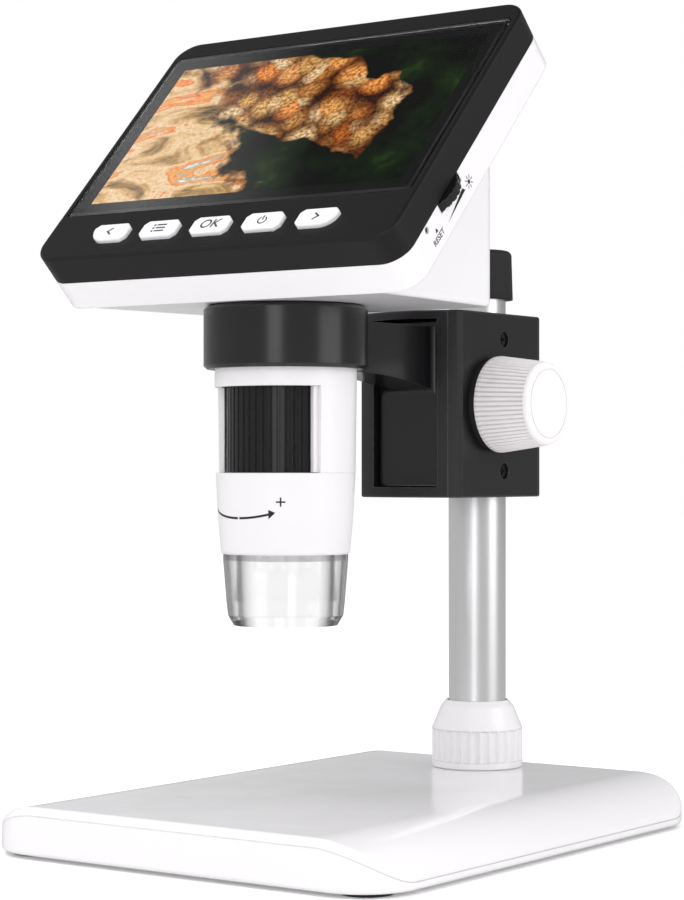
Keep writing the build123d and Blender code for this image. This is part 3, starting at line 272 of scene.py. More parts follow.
def ramp(tree, place, factor, *stops):
    """The result of a colour ramp with stops of (position, colour)."""
    node = add_node(tree, "ShaderNodeValToRGB", place, Fac=factor)
    elements = node.color_ramp.elements
    while len(elements) < len(stops):
        elements.new(0.5)
    for element, (position, colour) in zip(elements, stops):
        element.position = position
        element.color = (*colour[:3], 1.0)
    return node.outputs["Color"]


def map_range(tree, place, value, low, high, **results):
    """How far a value is from low, which gives 0, to high, which gives 1."""
    node = add_node(tree, "ShaderNodeMapRange", place, Value=value, From_Min=low, From_Max=high, **results)
    return node.outputs["Result"]


def noise(tree, place, spot, **values):
    """The outputs of a noise texture that is read at a spot."""
    return add_node(tree, "ShaderNodeTexNoise", place, Vector=spot, **values).outputs


def object_place(tree, place):
    """Where a point lies in its piece's own space, which moves with the piece."""
    return add_node(tree, "ShaderNodeTexCoord", place).outputs["Object"]


def bump(tree, **values):
    """The normal of a surface with relief."""
    return add_node(tree, "ShaderNodeBump", (200, -200), **values).outputs["Normal"]


def new_group(name, inputs, outputs):
    """An empty shader node group: inputs are names with their values, outputs names with their kinds."""
    group = bpy.data.node_groups.new(name, "ShaderNodeTree")
    for label, value in inputs.items():
        socket = group.interface.new_socket(name=label, in_out="INPUT", socket_type="NodeSocketFloat")
        socket.default_value = value
    for label, kind in outputs.items():
        group.interface.new_socket(name=label, in_out="OUTPUT", socket_type=kind)
    shared[name] = group
    start = add_node(group, "NodeGroupInput", (-900, 0))
    end = add_node(group, "NodeGroupOutput", (600, 0))
    return group, start.outputs, end.inputs


def place_group(tree, name, place, **values):
    """The outputs of a shared effect that is placed in a material with its own values."""
    return add_node(tree, "ShaderNodeGroup", place, {"node_tree": shared[name]}, **values).outputs


# ---- effects shared by the finishes
def grain_group():
    """Moulded grain: two sizes of noise that give a height and a small change of gloss."""
    group, given, wanted = new_group("moulded_grain", {"Size": 1500.0, "Unevenness": 0.3},
                                     {"Height": "NodeSocketFloat", "Gloss": "NodeSocketFloat"})
    spot = object_place(group, (-700, 200))
    fine = noise(group, (-450, 200), spot, Scale=given["Size"], Detail=2.0, Roughness=0.6)["Fac"]
    broad = noise(group, (-450, -100), spot, Scale=60.0, Detail=3.0)["Fac"]
    soft = math_node(group, "MULTIPLY", (-200, -100), broad, given["Unevenness"])
    feed(wanted["Height"], math_node(group, "ADD", (50, 100), fine, soft))
    feed(wanted["Gloss"], math_node(group, "SUBTRACT", (50, -100), broad, 0.5))


def edge_group():
    """Paler edges, partly rubbed wear and partly a painted highlight: where a rounded normal departs from the
    flat one, broken up by noise.
    """
    group, given, wanted = new_group("edge_wear_and_highlight", {"Radius": 0.4 * mm, "Amount": 0.5},
                                     {"Mask": "NodeSocketFloat", "Normal": "NodeSocketVector"})
    bevel = add_node(group, "ShaderNodeBevel", (-650, 150), {"samples": 4}, Radius=given["Radius"])
    flat = add_node(group, "ShaderNodeNewGeometry", (-650, -50))
    alike = math_node(group, "DOT_PRODUCT", (-420, 100), bevel.outputs["Normal"], flat.outputs["Normal"],
                      kind="ShaderNodeVectorMath")
    edge = map_range(group, (-60, 100), math_node(group, "SUBTRACT", (-240, 100), 1.0, alike), 0.02, 0.25)
    patches = noise(group, (-420, -300), object_place(group, (-650, -300)), Scale=900.0, Detail=4.0)["Fac"]
    broken = math_node(group, "MULTIPLY", (150, 0), edge, patches)
    feed(wanted["Mask"], math_node(group, "MULTIPLY", (350, 0), broken, given["Amount"]))
    feed(wanted["Normal"], bevel.outputs["Normal"])


def smudge_group():
    """Handling marks: broad soft patches that change the gloss and, more faintly, the tone."""
    group, given, wanted = new_group("handling_smudges", {"Size": 40.0, "Strength": 0.06},
                                     {"Roughness": "NodeSocketFloat", "Tone": "NodeSocketFloat"})
    patches = noise(group, (-450, 100), object_place(group, (-700, 100)), Scale=given["Size"], Detail=5.0,
                    Roughness=0.65, Distortion=0.6)["Fac"]
    centred = math_node(group, "SUBTRACT", (-200, 100), patches, 0.5)
    change = math_node(group, "MULTIPLY", (0, 100), centred, given["Strength"])
    feed(wanted["Roughness"], change)
    feed(wanted["Tone"], math_node(group, "MULTIPLY_ADD", (200, -50), change, 0.3, 1.0))


def groove_mask(tree, place, centre, axes, count, turn, half, below=None):
    """Even grooves round an axis: 1 in a groove and 0 between them. turn shifts them and half is half
    their width, both as parts of a pitch, and below ends them along X."""
    x, y = place
    parts = add_node(tree, "ShaderNodeSeparateXYZ", (x + 200, y), Vector=object_place(tree, place)).outputs
    first, second = [math_node(tree, "SUBTRACT", (x + 400, y - 150 * index), parts[axis], centre[axis])
                     for index, axis in enumerate(axes)]
    angle = math_node(tree, "ARCTAN2", (x + 600, y), second, first)
    pitch = math_node(tree, "MULTIPLY_ADD", (x + 800, y), angle, count / (2 * math.pi), turn)
    part = math_node(tree, "FRACT", (x + 1000, y), pitch)
    mask = math_node(tree, "COMPARE", (x + 1200, y), part, 0.5, half)
    if below is not None:
        grip = math_node(tree, "LESS_THAN", (x + 1200, y - 200), parts["X"], below)
        mask = math_node(tree, "MULTIPLY", (x + 1400, y), mask, grip)
    return mask


# ---- finishes
def handled(tree, place, colour, marks):
    """A colour under handling marks."""
    return mix_colour(tree, place, 1.0, colour, marks["Tone"], "MULTIPLY")


def start_material(name):
    """A new shared material's tree and its Principled shader."""
    shared[name] = material = bpy.data.materials.new(name)
    material.use_nodes = True
    tree = material.node_tree
    tree.nodes["Material Output"].location = (800, 0)
    shader = tree.nodes["Principled BSDF"]
    shader.location = (500, 0)
    return tree, shader


def plastic(name, colour, roughness, grain, wear_and_highlight, worn_and_highlit=grey(0.5), edge=0.4 * mm, coat=0.0,
            coat_roughness=0.1, specular=0.5, grooves=None, painted_groove_shade=grey(0)):
    """Moulded plastic: gloss that changes over the surface, paler edges, partly rubbed wear and partly a
    painted highlight, and painted shade in grooves.
    grain gives the fineness, depth and strength of its grain."""
    tree, shader = start_material(name)
    fineness, depth, strength = grain
    texture = place_group(tree, "moulded_grain", (-500, -100), Size=fineness)
    edges = place_group(tree, "edge_wear_and_highlight", (-500, 150), Radius=edge, Amount=wear_and_highlight)
    marks = place_group(tree, "handling_smudges", (-500, -300))
    tone = handled(tree, (-250, 250), colour, marks)
    if grooves:
        # painted shade: the grooves get a darker colour where shade would fall
        tone = mix_colour(tree, (-120, 400), groove_mask(tree, (-1900, 500), **grooves), tone, painted_groove_shade)
    gloss = math_node(tree, "MULTIPLY_ADD", (-250, 0), texture["Gloss"], 0.08, roughness)
    set_inputs(
        shader,
        Base_Color=mix_colour(tree, (0, 250), edges["Mask"], tone, worn_and_highlit),
        Roughness=math_node(tree, "ADD", (0, 0), gloss, marks["Roughness"]),
        Normal=bump(tree, Strength=strength, Distance=depth, Height=texture["Height"],
                    Normal=edges["Normal"]),
        Coat_Weight=coat, Coat_Roughness=coat_roughness, Specular_IOR_Level=specular)


def drawn_metal(name, colour, roughness, along="Z", streak=2600.0, metallic=1.0, contrast=0.14):
    """Drawn or turned metal: fine streaks along an axis, with a satin sheen."""
    tree, shader = start_material(name)
    stretched = add_node(tree, "ShaderNodeMapping", (-700, 0), Vector=object_place(tree, (-900, 0)),
                         Scale=[streak * (0.004 if axis == along else 1.0) for axis in "XYZ"])
    streaks = noise(tree, (-500, 0), stretched.outputs["Vector"], Scale=1.0, Detail=3.0, Roughness=0.7)["Fac"]
    edges = place_group(tree, "edge_wear_and_highlight", (-500, 250), Radius=0.3 * mm, Amount=0.2)
    marks = place_group(tree, "handling_smudges", (-500, -250), Strength=0.08)
    tone = ramp(tree, (-250, 250), streaks, (0.3, [part * (1 - contrast) for part in colour]), (0.7, colour))
    gloss = math_node(tree, "MULTIPLY_ADD", (-250, 0), streaks, contrast, roughness - contrast / 2)
    set_inputs(
        shader,
        Base_Color=mix_colour(tree, (50, 250), edges["Mask"], tone, grey(0.95)),
        Roughness=math_node(tree, "ADD", (0, 0), gloss, marks["Roughness"]),
        Normal=bump(tree, Strength=contrast * 1.8, Distance=0.02 * mm, Height=streaks,
                    Normal=edges["Normal"]),
        Metallic=metallic)


def clear_plastic(name, colour, roughness, index, rim, waves=0.05):
    """Clear moulded plastic or glass: faintly wavy and hazy, with painted shade in the rim colour where it is
    seen edge-on.
    """
    tree, shader = start_material(name)
    texture = place_group(tree, "moulded_grain", (-300, -100), Size=500.0, Unevenness=1.0)
    marks = place_group(tree, "handling_smudges", (-300, -300), Strength=0.04, Size=70.0)
    facing = add_node(tree, "ShaderNodeLayerWeight", (-500, 350), Blend=0.5).outputs["Facing"]
    tint_with_edge_shade = mix_colour(tree, (-100, 300), map_range(tree, (-300, 350), facing, 0.27, 0.6), colour, rim)
    set_inputs(
        shader,
        Base_Color=handled(tree, (100, 200), tint_with_edge_shade, marks),
        Roughness=math_node(tree, "ADD", (0, 0), marks["Roughness"], roughness),
        Normal=bump(tree, Strength=waves, Distance=0.01 * mm, Height=texture["Height"]),
        Transmission_Weight=1.0, IOR=index)


def circuit_board(name, colour, copper):
    """Solder mask over tracks: a maze of fine lines shows through as a paler tone."""
    tree, shader = start_material(name)
    cells = add_node(tree, "ShaderNodeTexVoronoi", (-650, 0), {"distance": "CHEBYCHEV"},
                     Vector=object_place(tree, (-900, 0)), Scale=420.0)
    tracks = math_node(tree, "PINGPONG", (-420, 0), cells.outputs["Distance"], 0.12)
    mask = map_range(tree, (-220, 0), tracks, 0.04, 0.07)
    set_inputs(
        shader,
        Base_Color=mix_colour(tree, (50, 100), mask, colour, copper), Roughness=0.35,
        Normal=bump(tree, Strength=0.3, Distance=0.03 * mm, Height=mask))


def lit_picture(name, brightness):
    """A magnified sample on dark green: a band of round orange and tan grains, and combed fibres in the
    lower left corner."""
    tree, shader = start_material(name)
    sheet = add_node(tree, "ShaderNodeTexCoord", (-1900, 0)).outputs["UV"]
    wide = add_node(tree, "ShaderNodeMapping", (-1700, 0), Vector=sheet,
                    Scale=(1.765, 1, 1)).outputs["Vector"]
    sides = add_node(tree, "ShaderNodeSeparateXYZ", (-1300, -500), Vector=wide).outputs
    across, up = sides["X"], sides["Y"]
    shift = noise(tree, (-1500, -250), wide, Scale=2.2, Detail=3.0)
    bent = math_node(tree, "MULTIPLY_ADD", (-1300, 0), shift["Color"], grey(0.16), wide,
                     kind="ShaderNodeVectorMath")
    specks = noise(tree, (-1100, 0), wide, Scale=48.0, Detail=3.0, Roughness=0.75)["Fac"]
    speckle = ramp(tree, (-700, 0), specks, (0.38, (0.22, 0.13, 0.07)), (0.48, (0.85, 0.75, 0.62)),
                   (0.60, grey(1.5)))

    # round grains: each has a colour of its own and darkens towards its rim
    grains = add_node(tree, "ShaderNodeTexVoronoi", (-1100, 300), Vector=bent, Scale=7.0).outputs
    lot = add_node(tree, "ShaderNodeSeparateColor", (-900, 420), Color=grains["Color"]).outputs["Red"]
    hue = ramp(tree, (-700, 420), lot, (0.0, (0.50, 0.19, 0.035)), (0.3, (0.76, 0.48, 0.18)),
               (0.52, (0.92, 0.30, 0.05)), (0.68, (0.78, 0.52, 0.23)), (1.0, (0.90, 0.68, 0.44)))
    shade = ramp(tree, (-700, 200), grains["Distance"], (0.0, grey(1.0)), (0.35, (0.85, 0.8, 0.76)),
                 (0.6, (0.3, 0.2, 0.13)), (0.8, (0.04, 0.02, 0.01)))
    rounded = mix_colour(tree, (-520, 350), 1.0, hue, shade, "MULTIPLY")
    grainy = mix_colour(tree, (-350, 300), 0.9, rounded, speckle, "MULTIPLY")

    # combed fibres: noise stretched along a slope
    combed = add_node(tree, "ShaderNodeMapping", (-1300, -800), Vector=bent,
                      Rotation=(0, 0, math.radians(-52)), Scale=(1.6, 4.2, 1.0)).outputs["Vector"]
    fibres = noise(tree, (-1100, -800), combed, Scale=1.15, Detail=5.0, Roughness=0.6, Distortion=1.2)["Fac"]
    fleece = ramp(tree, (-900, -800), fibres, (0.32, (0.06, 0.035, 0.012)), (0.40, (0.50, 0.28, 0.09)),
                  (0.46, (0.86, 0.56, 0.27)), (0.52, (0.92, 0.68, 0.42)), (0.555, (0.90, 0.20, 0.02)),
                  (0.59, (0.95, 0.45, 0.10)), (0.65, (0.55, 0.40, 0.26)), (0.71, (0.95, 0.92, 0.88)))
    downy = mix_colour(tree, (-350, 50), 0.22, fleece, speckle, "MULTIPLY")

    # the fibres fill the corner, the grains a ragged sloping band that ends short of the right edge
    patches = noise(tree, (-1100, -300), bent, Scale=3.1, Detail=4.0, Roughness=0.6)["Fac"]
    corner = math_node(tree, "MULTIPLY_ADD", (-1100, -1000), up, 0.75, across)
    near = math_node(tree, "MULTIPLY_ADD", (-900, -1000), patches, -0.9, corner)
    cornered = map_range(tree, (-700, -1000), near, 0.48, 0.40)
    slope = math_node(tree, "MULTIPLY_ADD", (-1100, -520), across, 0.30, up)
    away = math_node(tree, "ABSOLUTE", (-900, -520), math_node(tree, "SUBTRACT", (-1000, -520), slope, 0.93))
    ragged = math_node(tree, "MULTIPLY_ADD", (-800, -520), shift["Fac"], -0.75, away)
    band = map_range(tree, (-600, -520), ragged, -0.06, -0.085)
    ending = math_node(tree, "MULTIPLY_ADD", (-800, -680), patches, 0.5, across)
    ended = map_range(tree, (-600, -680), ending, 1.70, 1.66)
    strip = math_node(tree, "MULTIPLY", (-450, -560), band, ended)
    heap = math_node(tree, "MAXIMUM", (-350, -500), cornered, strip)
    behind = ramp(tree, (-700, -400), patches, (0.42, (0.001, 0.0015, 0.001)), (0.56, (0.004, 0.013, 0.002)),
                  (0.70, (0.03, 0.07, 0.01)))
    warm = mix_colour(tree, (-150, 200), cornered, grainy, downy)
    set_inputs(shader, Emission_Color=mix_colour(tree, (50, 0), heap, behind, warm),
               Emission_Strength=brightness, Base_Color=grey(0), Roughness=0.6, Specular_IOR_Level=0.0)


def lamp_face(name, colour, strength):
    """A lamp's phosphor: a bright uneven face."""
    tree, shader = start_material(name)
    marks = place_group(tree, "handling_smudges", (-300, 0), Size=900.0, Strength=0.5)
    set_inputs(shader, Emission_Color=handled(tree, (0, 0), colour, marks), Emission_Strength=strength,
               Base_Color=colour)


def printed_ink(name, colour, specular=0.5):
    """Printed ink: flat, with slightly uneven tone and gloss."""
    tree, shader = start_material(name)
    marks = place_group(tree, "handling_smudges", (-300, 0), Size=600.0, Strength=0.25)
    set_inputs(shader, Base_Color=handled(tree, (0, 100), colour, marks),
               Roughness=math_node(tree, "ADD", (0, -100), marks["Roughness"], 0.5),
               Specular_IOR_Level=specular)


def prepare_finishes():
    """Builds the shared effects and every finish once."""
    finish = bpy.context.scene.microscope_finish
    marks = bpy.context.scene.microscope_marks
    grain_group()
    edge_group()
    smudge_group()
    white, black, knob = finish.white_plastic, finish.black_plastic, finish.knob_plastic
    rub_and_highlight, depth = finish.wear_and_highlight, finish.grain_depth
    pale, soot = grey(0.7), grey(0.05)
    # painted shade: the barrel, shroud and jamb wear the white plastic darkened to 0.93
    shaded_barrel_white = [part * 0.93 for part in white]
    knob_low, knob_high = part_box("focus_knob")
    knob_ribs = {"centre": (knob_low + knob_high) / 2, "axes": (1, 2), "count": 60, "turn": -0.14,
                 "half": 0.17, "below": knob_high.x - 1.55 * mm}
    flute_bottoms = {"centre": barrel_axis, "axes": (0, 1), "count": ring_flutes, "turn": 0.5, "half": 0.2}

    plastic("white_gloss", white, 0.22, (900.0, 0.01 * mm, 0.15), rub_and_highlight * 0.3, pale, 0.5 * mm, 0.35, 0.06)
    plastic("white_satin", shaded_barrel_white, 0.34, (2400.0, 0.01 * mm, 0.2), rub_and_highlight * 0.3, pale, 0.3 * mm, 0.1)
    # painted shade: the knob's rib grooves are coloured grey
    plastic("knob_satin", knob, 0.4, (2400.0, 0.005 * mm, 0.1), 0.0, edge=0.1 * mm, grooves=knob_ribs,
            painted_groove_shade=(0.62, 0.59, 0.60))
    plastic("key_satin", (0.82, 0.82, 0.83), 0.3, (3000.0, 0.01 * mm, 0.2), rub_and_highlight * 0.2, pale, 0.3 * mm, 0.15)
    # painted highlight: the carriage's edges get a strong pale grey edge colour that stands in for the light
    # they catch
    plastic("black_satin", black, 0.36, (2600.0, depth, 0.2), rub_and_highlight * 2.4, (0.30, 0.29, 0.30), 0.3 * mm,
            specular=0.42)
    plastic("bezel_satin", black, 0.44, (2600.0, depth, 0.3), rub_and_highlight * 0.3, grey(0.08), 0.12 * mm,
            specular=0.3)
    plastic("black_gloss", black, 0.22, (2200.0, depth, 0.12), rub_and_highlight, grey(0.18))
    # painted shade: the flute bottoms are coloured nearly black
    plastic("ring_gloss", (0.007, 0.007, 0.0075), 0.2, (2200.0, depth, 0.1), rub_and_highlight * 1.5, grey(0.12),
            0.3 * mm, specular=0.35, grooves=flute_bottoms, painted_groove_shade=grey(0.001))
    plastic("black_rubber", grey(0.016), 0.62, (1800.0, 0.05 * mm, 0.5), rub_and_highlight * 0.3, soot,
            specular=0.35)
    plastic("black_inner", grey(0.007), 0.6, (3000.0, depth, 0.3), 0.1, soot)
    plastic("nylon", (0.62, 0.60, 0.55), 0.5, (2000.0, 0.03 * mm, 0.3), 0.2, (0.8, 0.8, 0.78))
    plastic("panel", (0.01, 0.01, 0.012), 0.2, (4000.0, 0.004 * mm, 0.1), 0.1, soot, specular=0.0)
    drawn_metal("post_metal", (0.92, 0.92, 0.93), 0.31, contrast=0.05)
    drawn_metal("steel", (0.56, 0.56, 0.58), 0.34, streak=1800.0)
    drawn_metal("brass", (0.75, 0.55, 0.24), 0.32, "X", 2400.0)
    drawn_metal("foil", (0.35, 0.42, 0.52), 0.4, "X", 900.0, metallic=0.6)
    clear_plastic("cover_glass", (0.97, 0.98, 0.98), 0.03, 1.50, (0.97, 0.98, 0.98), 0.01)
    # painted shade: the tip's walls are coloured dark grey where they are seen edge-on
    clear_plastic("clear_acrylic", (0.975, 0.975, 0.98), 0.04, 1.49, (0.08, 0.077, 0.082))
    clear_plastic("lens_glass", (0.95, 0.97, 0.99), 0.02, 1.6, (0.8, 0.85, 0.9))
    circuit_board("board", (0.01, 0.09, 0.035), (0.03, 0.18, 0.07))
    circuit_board("lamp_board", (0.75, 0.75, 0.72), (0.6, 0.6, 0.56))
    lit_picture("picture", bpy.context.scene.microscope_screen.brightness)
    lamp_face("lamp", (1.0, 0.97, 0.92), 2.0)
    printed_ink("grey_ink", marks.grey_ink)
    printed_ink("black_ink", marks.black_ink)
    printed_ink("border_ink", (0.012, 0.012, 0.013), 0.0)


def dress(finish, *names):
    """Puts a finish on CAD nodes."""
    for name in names:
        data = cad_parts[name].data
        data.materials.clear()
        data.materials.append(shared[finish])


# ---- tools for pieces
def add_object(name, data):
    """A new object in the scene, at the origin."""
    thing = bpy.data.objects.new(name, data)
    bpy.context.scene.collection.objects.link(thing)
    return thing


def place_piece(data, name, finish, body):
    """Makes a mesh into a named object that wears a finish and rides on a body."""
    data.name = name
    data.materials.clear()
    data.materials.append(shared[finish])
    piece = add_object(name, data)
    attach(piece, body)
    return piece


def finish_piece(shape, name, finish, body):
    """Makes a bmesh, with its faces turned outwards, into a piece."""
    bmesh.ops.recalc_face_normals(shape, faces=shape.faces)
    data = bpy.data.meshes.new(name)
    shape.to_mesh(data)
    shape.free()
    return place_piece(data, name, finish, body)


def faces_of(verts):
    """The faces that meet at some corners, each once."""
    return list(dict.fromkeys(face for vert in verts for face in vert.link_faces))


def doubled(shape, faces):
    """Joins a second layer to faces by walls, and returns its corners, which are still to be moved."""
    grown = bmesh.ops.extrude_face_region(shape, geom=faces, use_keep_orig=True)
    return [part for part in grown["geom"] if isinstance(part, bmesh.types.BMVert)]


def thicken(shape, matrix, faces, thick):
    """Gives flat faces a thickness along a matrix's Z."""
    bmesh.ops.translate(shape, verts=doubled(shape, faces), vec=matrix.to_3x3() @ Vector((0, 0, thick)))


def add_outline(shape, matrix, corners, filled):
    """A closed outline through its corners on the surface that a matrix describes, as a face or bare."""
    loop = bmesh.ops.create_circle(shape, cap_ends=filled, segments=len(corners), radius=1.0)["verts"]
    for vert, corner in zip(loop, corners):
        vert.co = matrix @ Vector((*corner, 0))
    return loop


def add_patch(shape, matrix, corners, thick):
    """A flat patch with straight edges between its corners."""
    thicken(shape, matrix, faces_of(add_outline(shape, matrix, corners, True)), thick)


def add_plate(shape, matrix, outside, inside, thick):
    """A flat plate with a hole. Its two outlines have as many corners."""
    for corners in (outside, inside):
        add_outline(shape, matrix, corners, False)
    bmesh.ops.bridge_loops(shape, edges=shape.edges[:])
    thicken(shape, matrix, shape.faces[:], thick)


def add_bar(shape, matrix, start, end, width, thick):
    """A flat bar from one point to another."""
    start, end = Vector((*start, 0)), Vector((*end, 0))
    run = end - start
    turn = Matrix.Rotation(math.atan2(run.y, run.x), 4, "Z")
    size = Matrix.Diagonal((run.length + width, width, thick, 1))
    middle = Matrix.Translation((start + end) / 2 + Vector((0, 0, thick / 2)))
    bmesh.ops.create_cube(shape, size=1.0, matrix=matrix @ middle @ turn @ size)


def add_dot(shape, matrix, centre, radius, thick):
    """A round dot."""
    place = Matrix.Translation((centre[0], centre[1], thick / 2))
    bmesh.ops.create_cone(shape, cap_ends=True, segments=24, radius1=radius, radius2=radius, depth=thick,
                          matrix=matrix @ place)


def add_arc(shape, matrix, centre, radius, start, sweep, width, thick, steps=28):
    """An open arc: a small section spun round a centre. radius is its middle line's."""
    middle = Vector((*centre, 0))
    corners = [shape.verts.new(matrix @ (middle + Vector((radius + across, 0, up))))
               for across, up in ((-width / 2, 0), (width / 2, 0), (width / 2, thick), (-width / 2, thick))]
    face = shape.faces.new(corners)
    axis = (matrix.to_3x3() @ Vector((0, 0, 1))).normalized()
    pivot = matrix @ middle
    bmesh.ops.rotate(shape, verts=corners, cent=pivot, matrix=Matrix.Rotation(start, 3, axis))
    bmesh.ops.spin(shape, geom=[face] + list(face.edges) + corners, cent=pivot, axis=axis, angle=sweep,
                   steps=steps, use_merge=False, use_duplicate=False)


def add_strip(shape, start, end, steps, thick, edges):
    """Ink on the barrel's wall between two azimuths in degrees. edges gives the lower and upper height
    at an azimuth and at a part of the way along."""
    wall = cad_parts["barrel_shroud"]
    reach = 0.05
    grid = bmesh.ops.create_grid(shape, x_segments=steps, y_segments=1, size=0.5)["verts"]
    for vert in grid:
        part = vert.co.x + 0.5
        azimuth = start + (end - start) * part
        height = edges(azimuth, part)[1 if vert.co.y > 0 else 0]
        outward = Vector((*polar(1.0, math.radians(azimuth)), 0))
        origin = barrel_axis + outward * reach + Vector((0, 0, height))
        hit, spot, normal, index = wall.ray_cast(origin, -outward, distance=reach)
        if not hit:
            raise RuntimeError("a strip of ink misses the barrel")
        vert.co = spot
    for vert in doubled(shape, faces_of(grid)):
        away = vert.co - barrel_axis
        vert.co += Vector((away.x, away.y, 0)).normalized() * thick
    bmesh.ops.remove_doubles(shape, verts=shape.verts, dist=1e-8)


def add_words(matrix, words, height, name, finish, body, thick, slant=0.0):
    """A short generic word as flat ink, centred on its place."""
    curve = bpy.data.curves.new(name, "FONT")
    curve.body = words
    curve.size = height
    curve.shear = slant
    curve.offset = height * 0.012
    curve.align_x = "CENTER"
    curve.align_y = "CENTER"
    curve.extrude = thick / 2
    draft = add_object(name + "_draft", curve)
    bpy.context.view_layer.update()
    data = bpy.data.meshes.new_from_object(draft.evaluated_get(bpy.context.evaluated_depsgraph_get()))
    bpy.data.objects.remove(draft)
    data.transform(matrix @ Matrix.Translation((0, 0, thick / 2)))
    place_piece(data, name, finish, body)


# ---- one operator for each group of pieces
class MICROSCOPE_OT_finishes(bpy.types.Operator):
    """Build the finishes and put one on every moulded and machined piece"""
    bl_idname = "microscope.finishes"
    bl_label = "Dress the solids"

    def execute(self, context):
        prepare_finishes()
        dress("white_gloss", "base_shell", "base_tray", "rear_housing", "clamp_nut")
        dress("white_satin", "barrel_shell", "barrel_shroud")
        dress("knob_satin", "focus_knob")
        dress("key_satin", *["key_" + name for name in key_names])
        dress("bezel_satin", "front_bezel")
        dress("black_satin", "carriage_block", "carriage_cover")
        dress("black_gloss", "holder_arm", "brightness_dial")
        dress("ring_gloss", "focus_ring")
        dress("black_rubber", "post_cap", "feet", "holder_liner", "knob_washer")
        dress("black_inner", "carriage_screws", "guide_tube", "reset_button", "reset_switch",
              "dial_potentiometer", "image_sensor")
        dress("nylon", "post_bush", "post_collet", "slider_rack", "lens_carrier")
        dress("post_metal", "post", "post_plug")
        dress("steel", "base_weight", "base_screws", "post_screw", "rack_screws", "housing_screws",
              "usb_socket", "card_socket", "pinion_shaft", "key_switches")
        dress("brass", "pinion")
        dress("foil", "battery")
        dress("cover_glass", "display_window")
        dress("clear_acrylic", "clear_tip")
        dress("lens_glass", "objective_lens")
        dress("board", "main_board", "key_board", "sensor_board")
        dress("lamp_board", "led_board", "lcd_backlight")
        dress("panel", "lcd_panel")
        dress("lamp", "leds")
        return {"FINISHED"}


class MICROSCOPE_OT_focus_ring(bpy.types.Operator):
    """Make the fluted focus ring that shows in the barrel's window, and the jamb beside it"""
    bl_idname = "microscope.focus_ring"
    bl_label = "Make the focus ring"

    def execute(self, context):
        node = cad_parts["focus_ring"]
        low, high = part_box("focus_ring")
        height = high.z - low.z
        places = [node.matrix_world @ vert.co - barrel_axis for vert in node.data.vertices]
        bore = min(math.hypot(place.x, place.y) for place in places)
        base = Matrix.Translation(barrel_axis + Vector((0, 0, low.z)))
        outside, inside = [], []
        for flute in range(ring_flutes):
            for part, depth in zip(flute_edges, (0, flute_depth, flute_depth, 0)):
                angle = 2 * math.pi * (flute + part) / ring_flutes
                outside.append(polar(ring_radius - depth, angle))
                inside.append(polar(bore, angle))
        shape = bmesh.new()
        add_plate(shape, base, outside, inside, height)
        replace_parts(finish_piece(shape, "fluted_ring", "ring_gloss", "focus"), "focus_ring")

        shape = bmesh.new()
        add_arc(shape, base, (0, 0), jamb_inside + jamb_width / 2, jamb_start, jamb_sweep, jamb_width, height,
                steps=6)
        finish_piece(shape, "window_jamb", "white_satin", "head")
        return {"FINISHED"}


class MICROSCOPE_OT_screen(bpy.types.Operator):
    """Lay the lit picture and the glass's printed black border behind the cover glass"""
    bl_idname = "microscope.screen"
    bl_label = "Light the screen"

    def execute(self, context):
        size = context.scene.microscope_screen
        shape = bmesh.new()
        shape.loops.layers.uv.new("sheet")
        bmesh.ops.create_grid(shape, x_segments=1, y_segments=1, size=0.5, calc_uvs=True)
        place = screen_matrix(0, 0, picture_level) @ Matrix.Diagonal((size.width, size.height, 1, 1))
        bmesh.ops.transform(shape, matrix=place, verts=shape.verts)
        finish_piece(shape, "screen_picture", "picture", "head")

        shape = bmesh.new()
        bmesh.ops.create_grid(shape, x_segments=1, y_segments=1, size=0.5)
        bmesh.ops.transform(shape, matrix=Matrix.Diagonal((*border_size, 1, 1)), verts=shape.verts)
        inset = bmesh.ops.inset_region(shape, faces=shape.faces[:], thickness=1 * mm, use_boundary=True)
        inner = [face for face in shape.faces if face not in inset["faces"]]
        for vert in inner[0].verts:
            vert.co.x = math.copysign(size.width / 2 + border_gap, vert.co.x)
            vert.co.y = math.copysign(size.height / 2 + border_gap, vert.co.y)
        bmesh.ops.delete(shape, geom=inner, context="FACES")
        bmesh.ops.transform(shape, matrix=screen_matrix(0, 0, border_level), verts=shape.verts)
        finish_piece(shape, "glass_border", "border_ink", "head")
        return {"FINISHED"}


def key_corners(size, cut, sweep, side, grow=0.0):
    """A key's outline, grown evenly: cut corners, and a large round outer lower corner on the first key,
    whose side is -1, and on the last, whose side is 1."""
    half_width, half_height = size[0] / 2 + grow, size[1] / 2 + grow
    cut, sweep = cut + grow * (2 - math.sqrt(2)), sweep + grow
    corners = []
    for right, top in ((1, 1), (-1, 1), (-1, -1), (1, -1)):
        ends = [(right * half_width, top * (half_height - cut)),
                (right * (half_width - cut), top * half_height)]
        if right == side and top == -1:
            turned = [polar(sweep, math.radians(15 * step)) for step in range(7)]
            ends = [(right * (half_width - sweep + x), sweep - half_height - y) for x, y in turned]
        corners += ends if right == top else reversed(ends)
    return corners


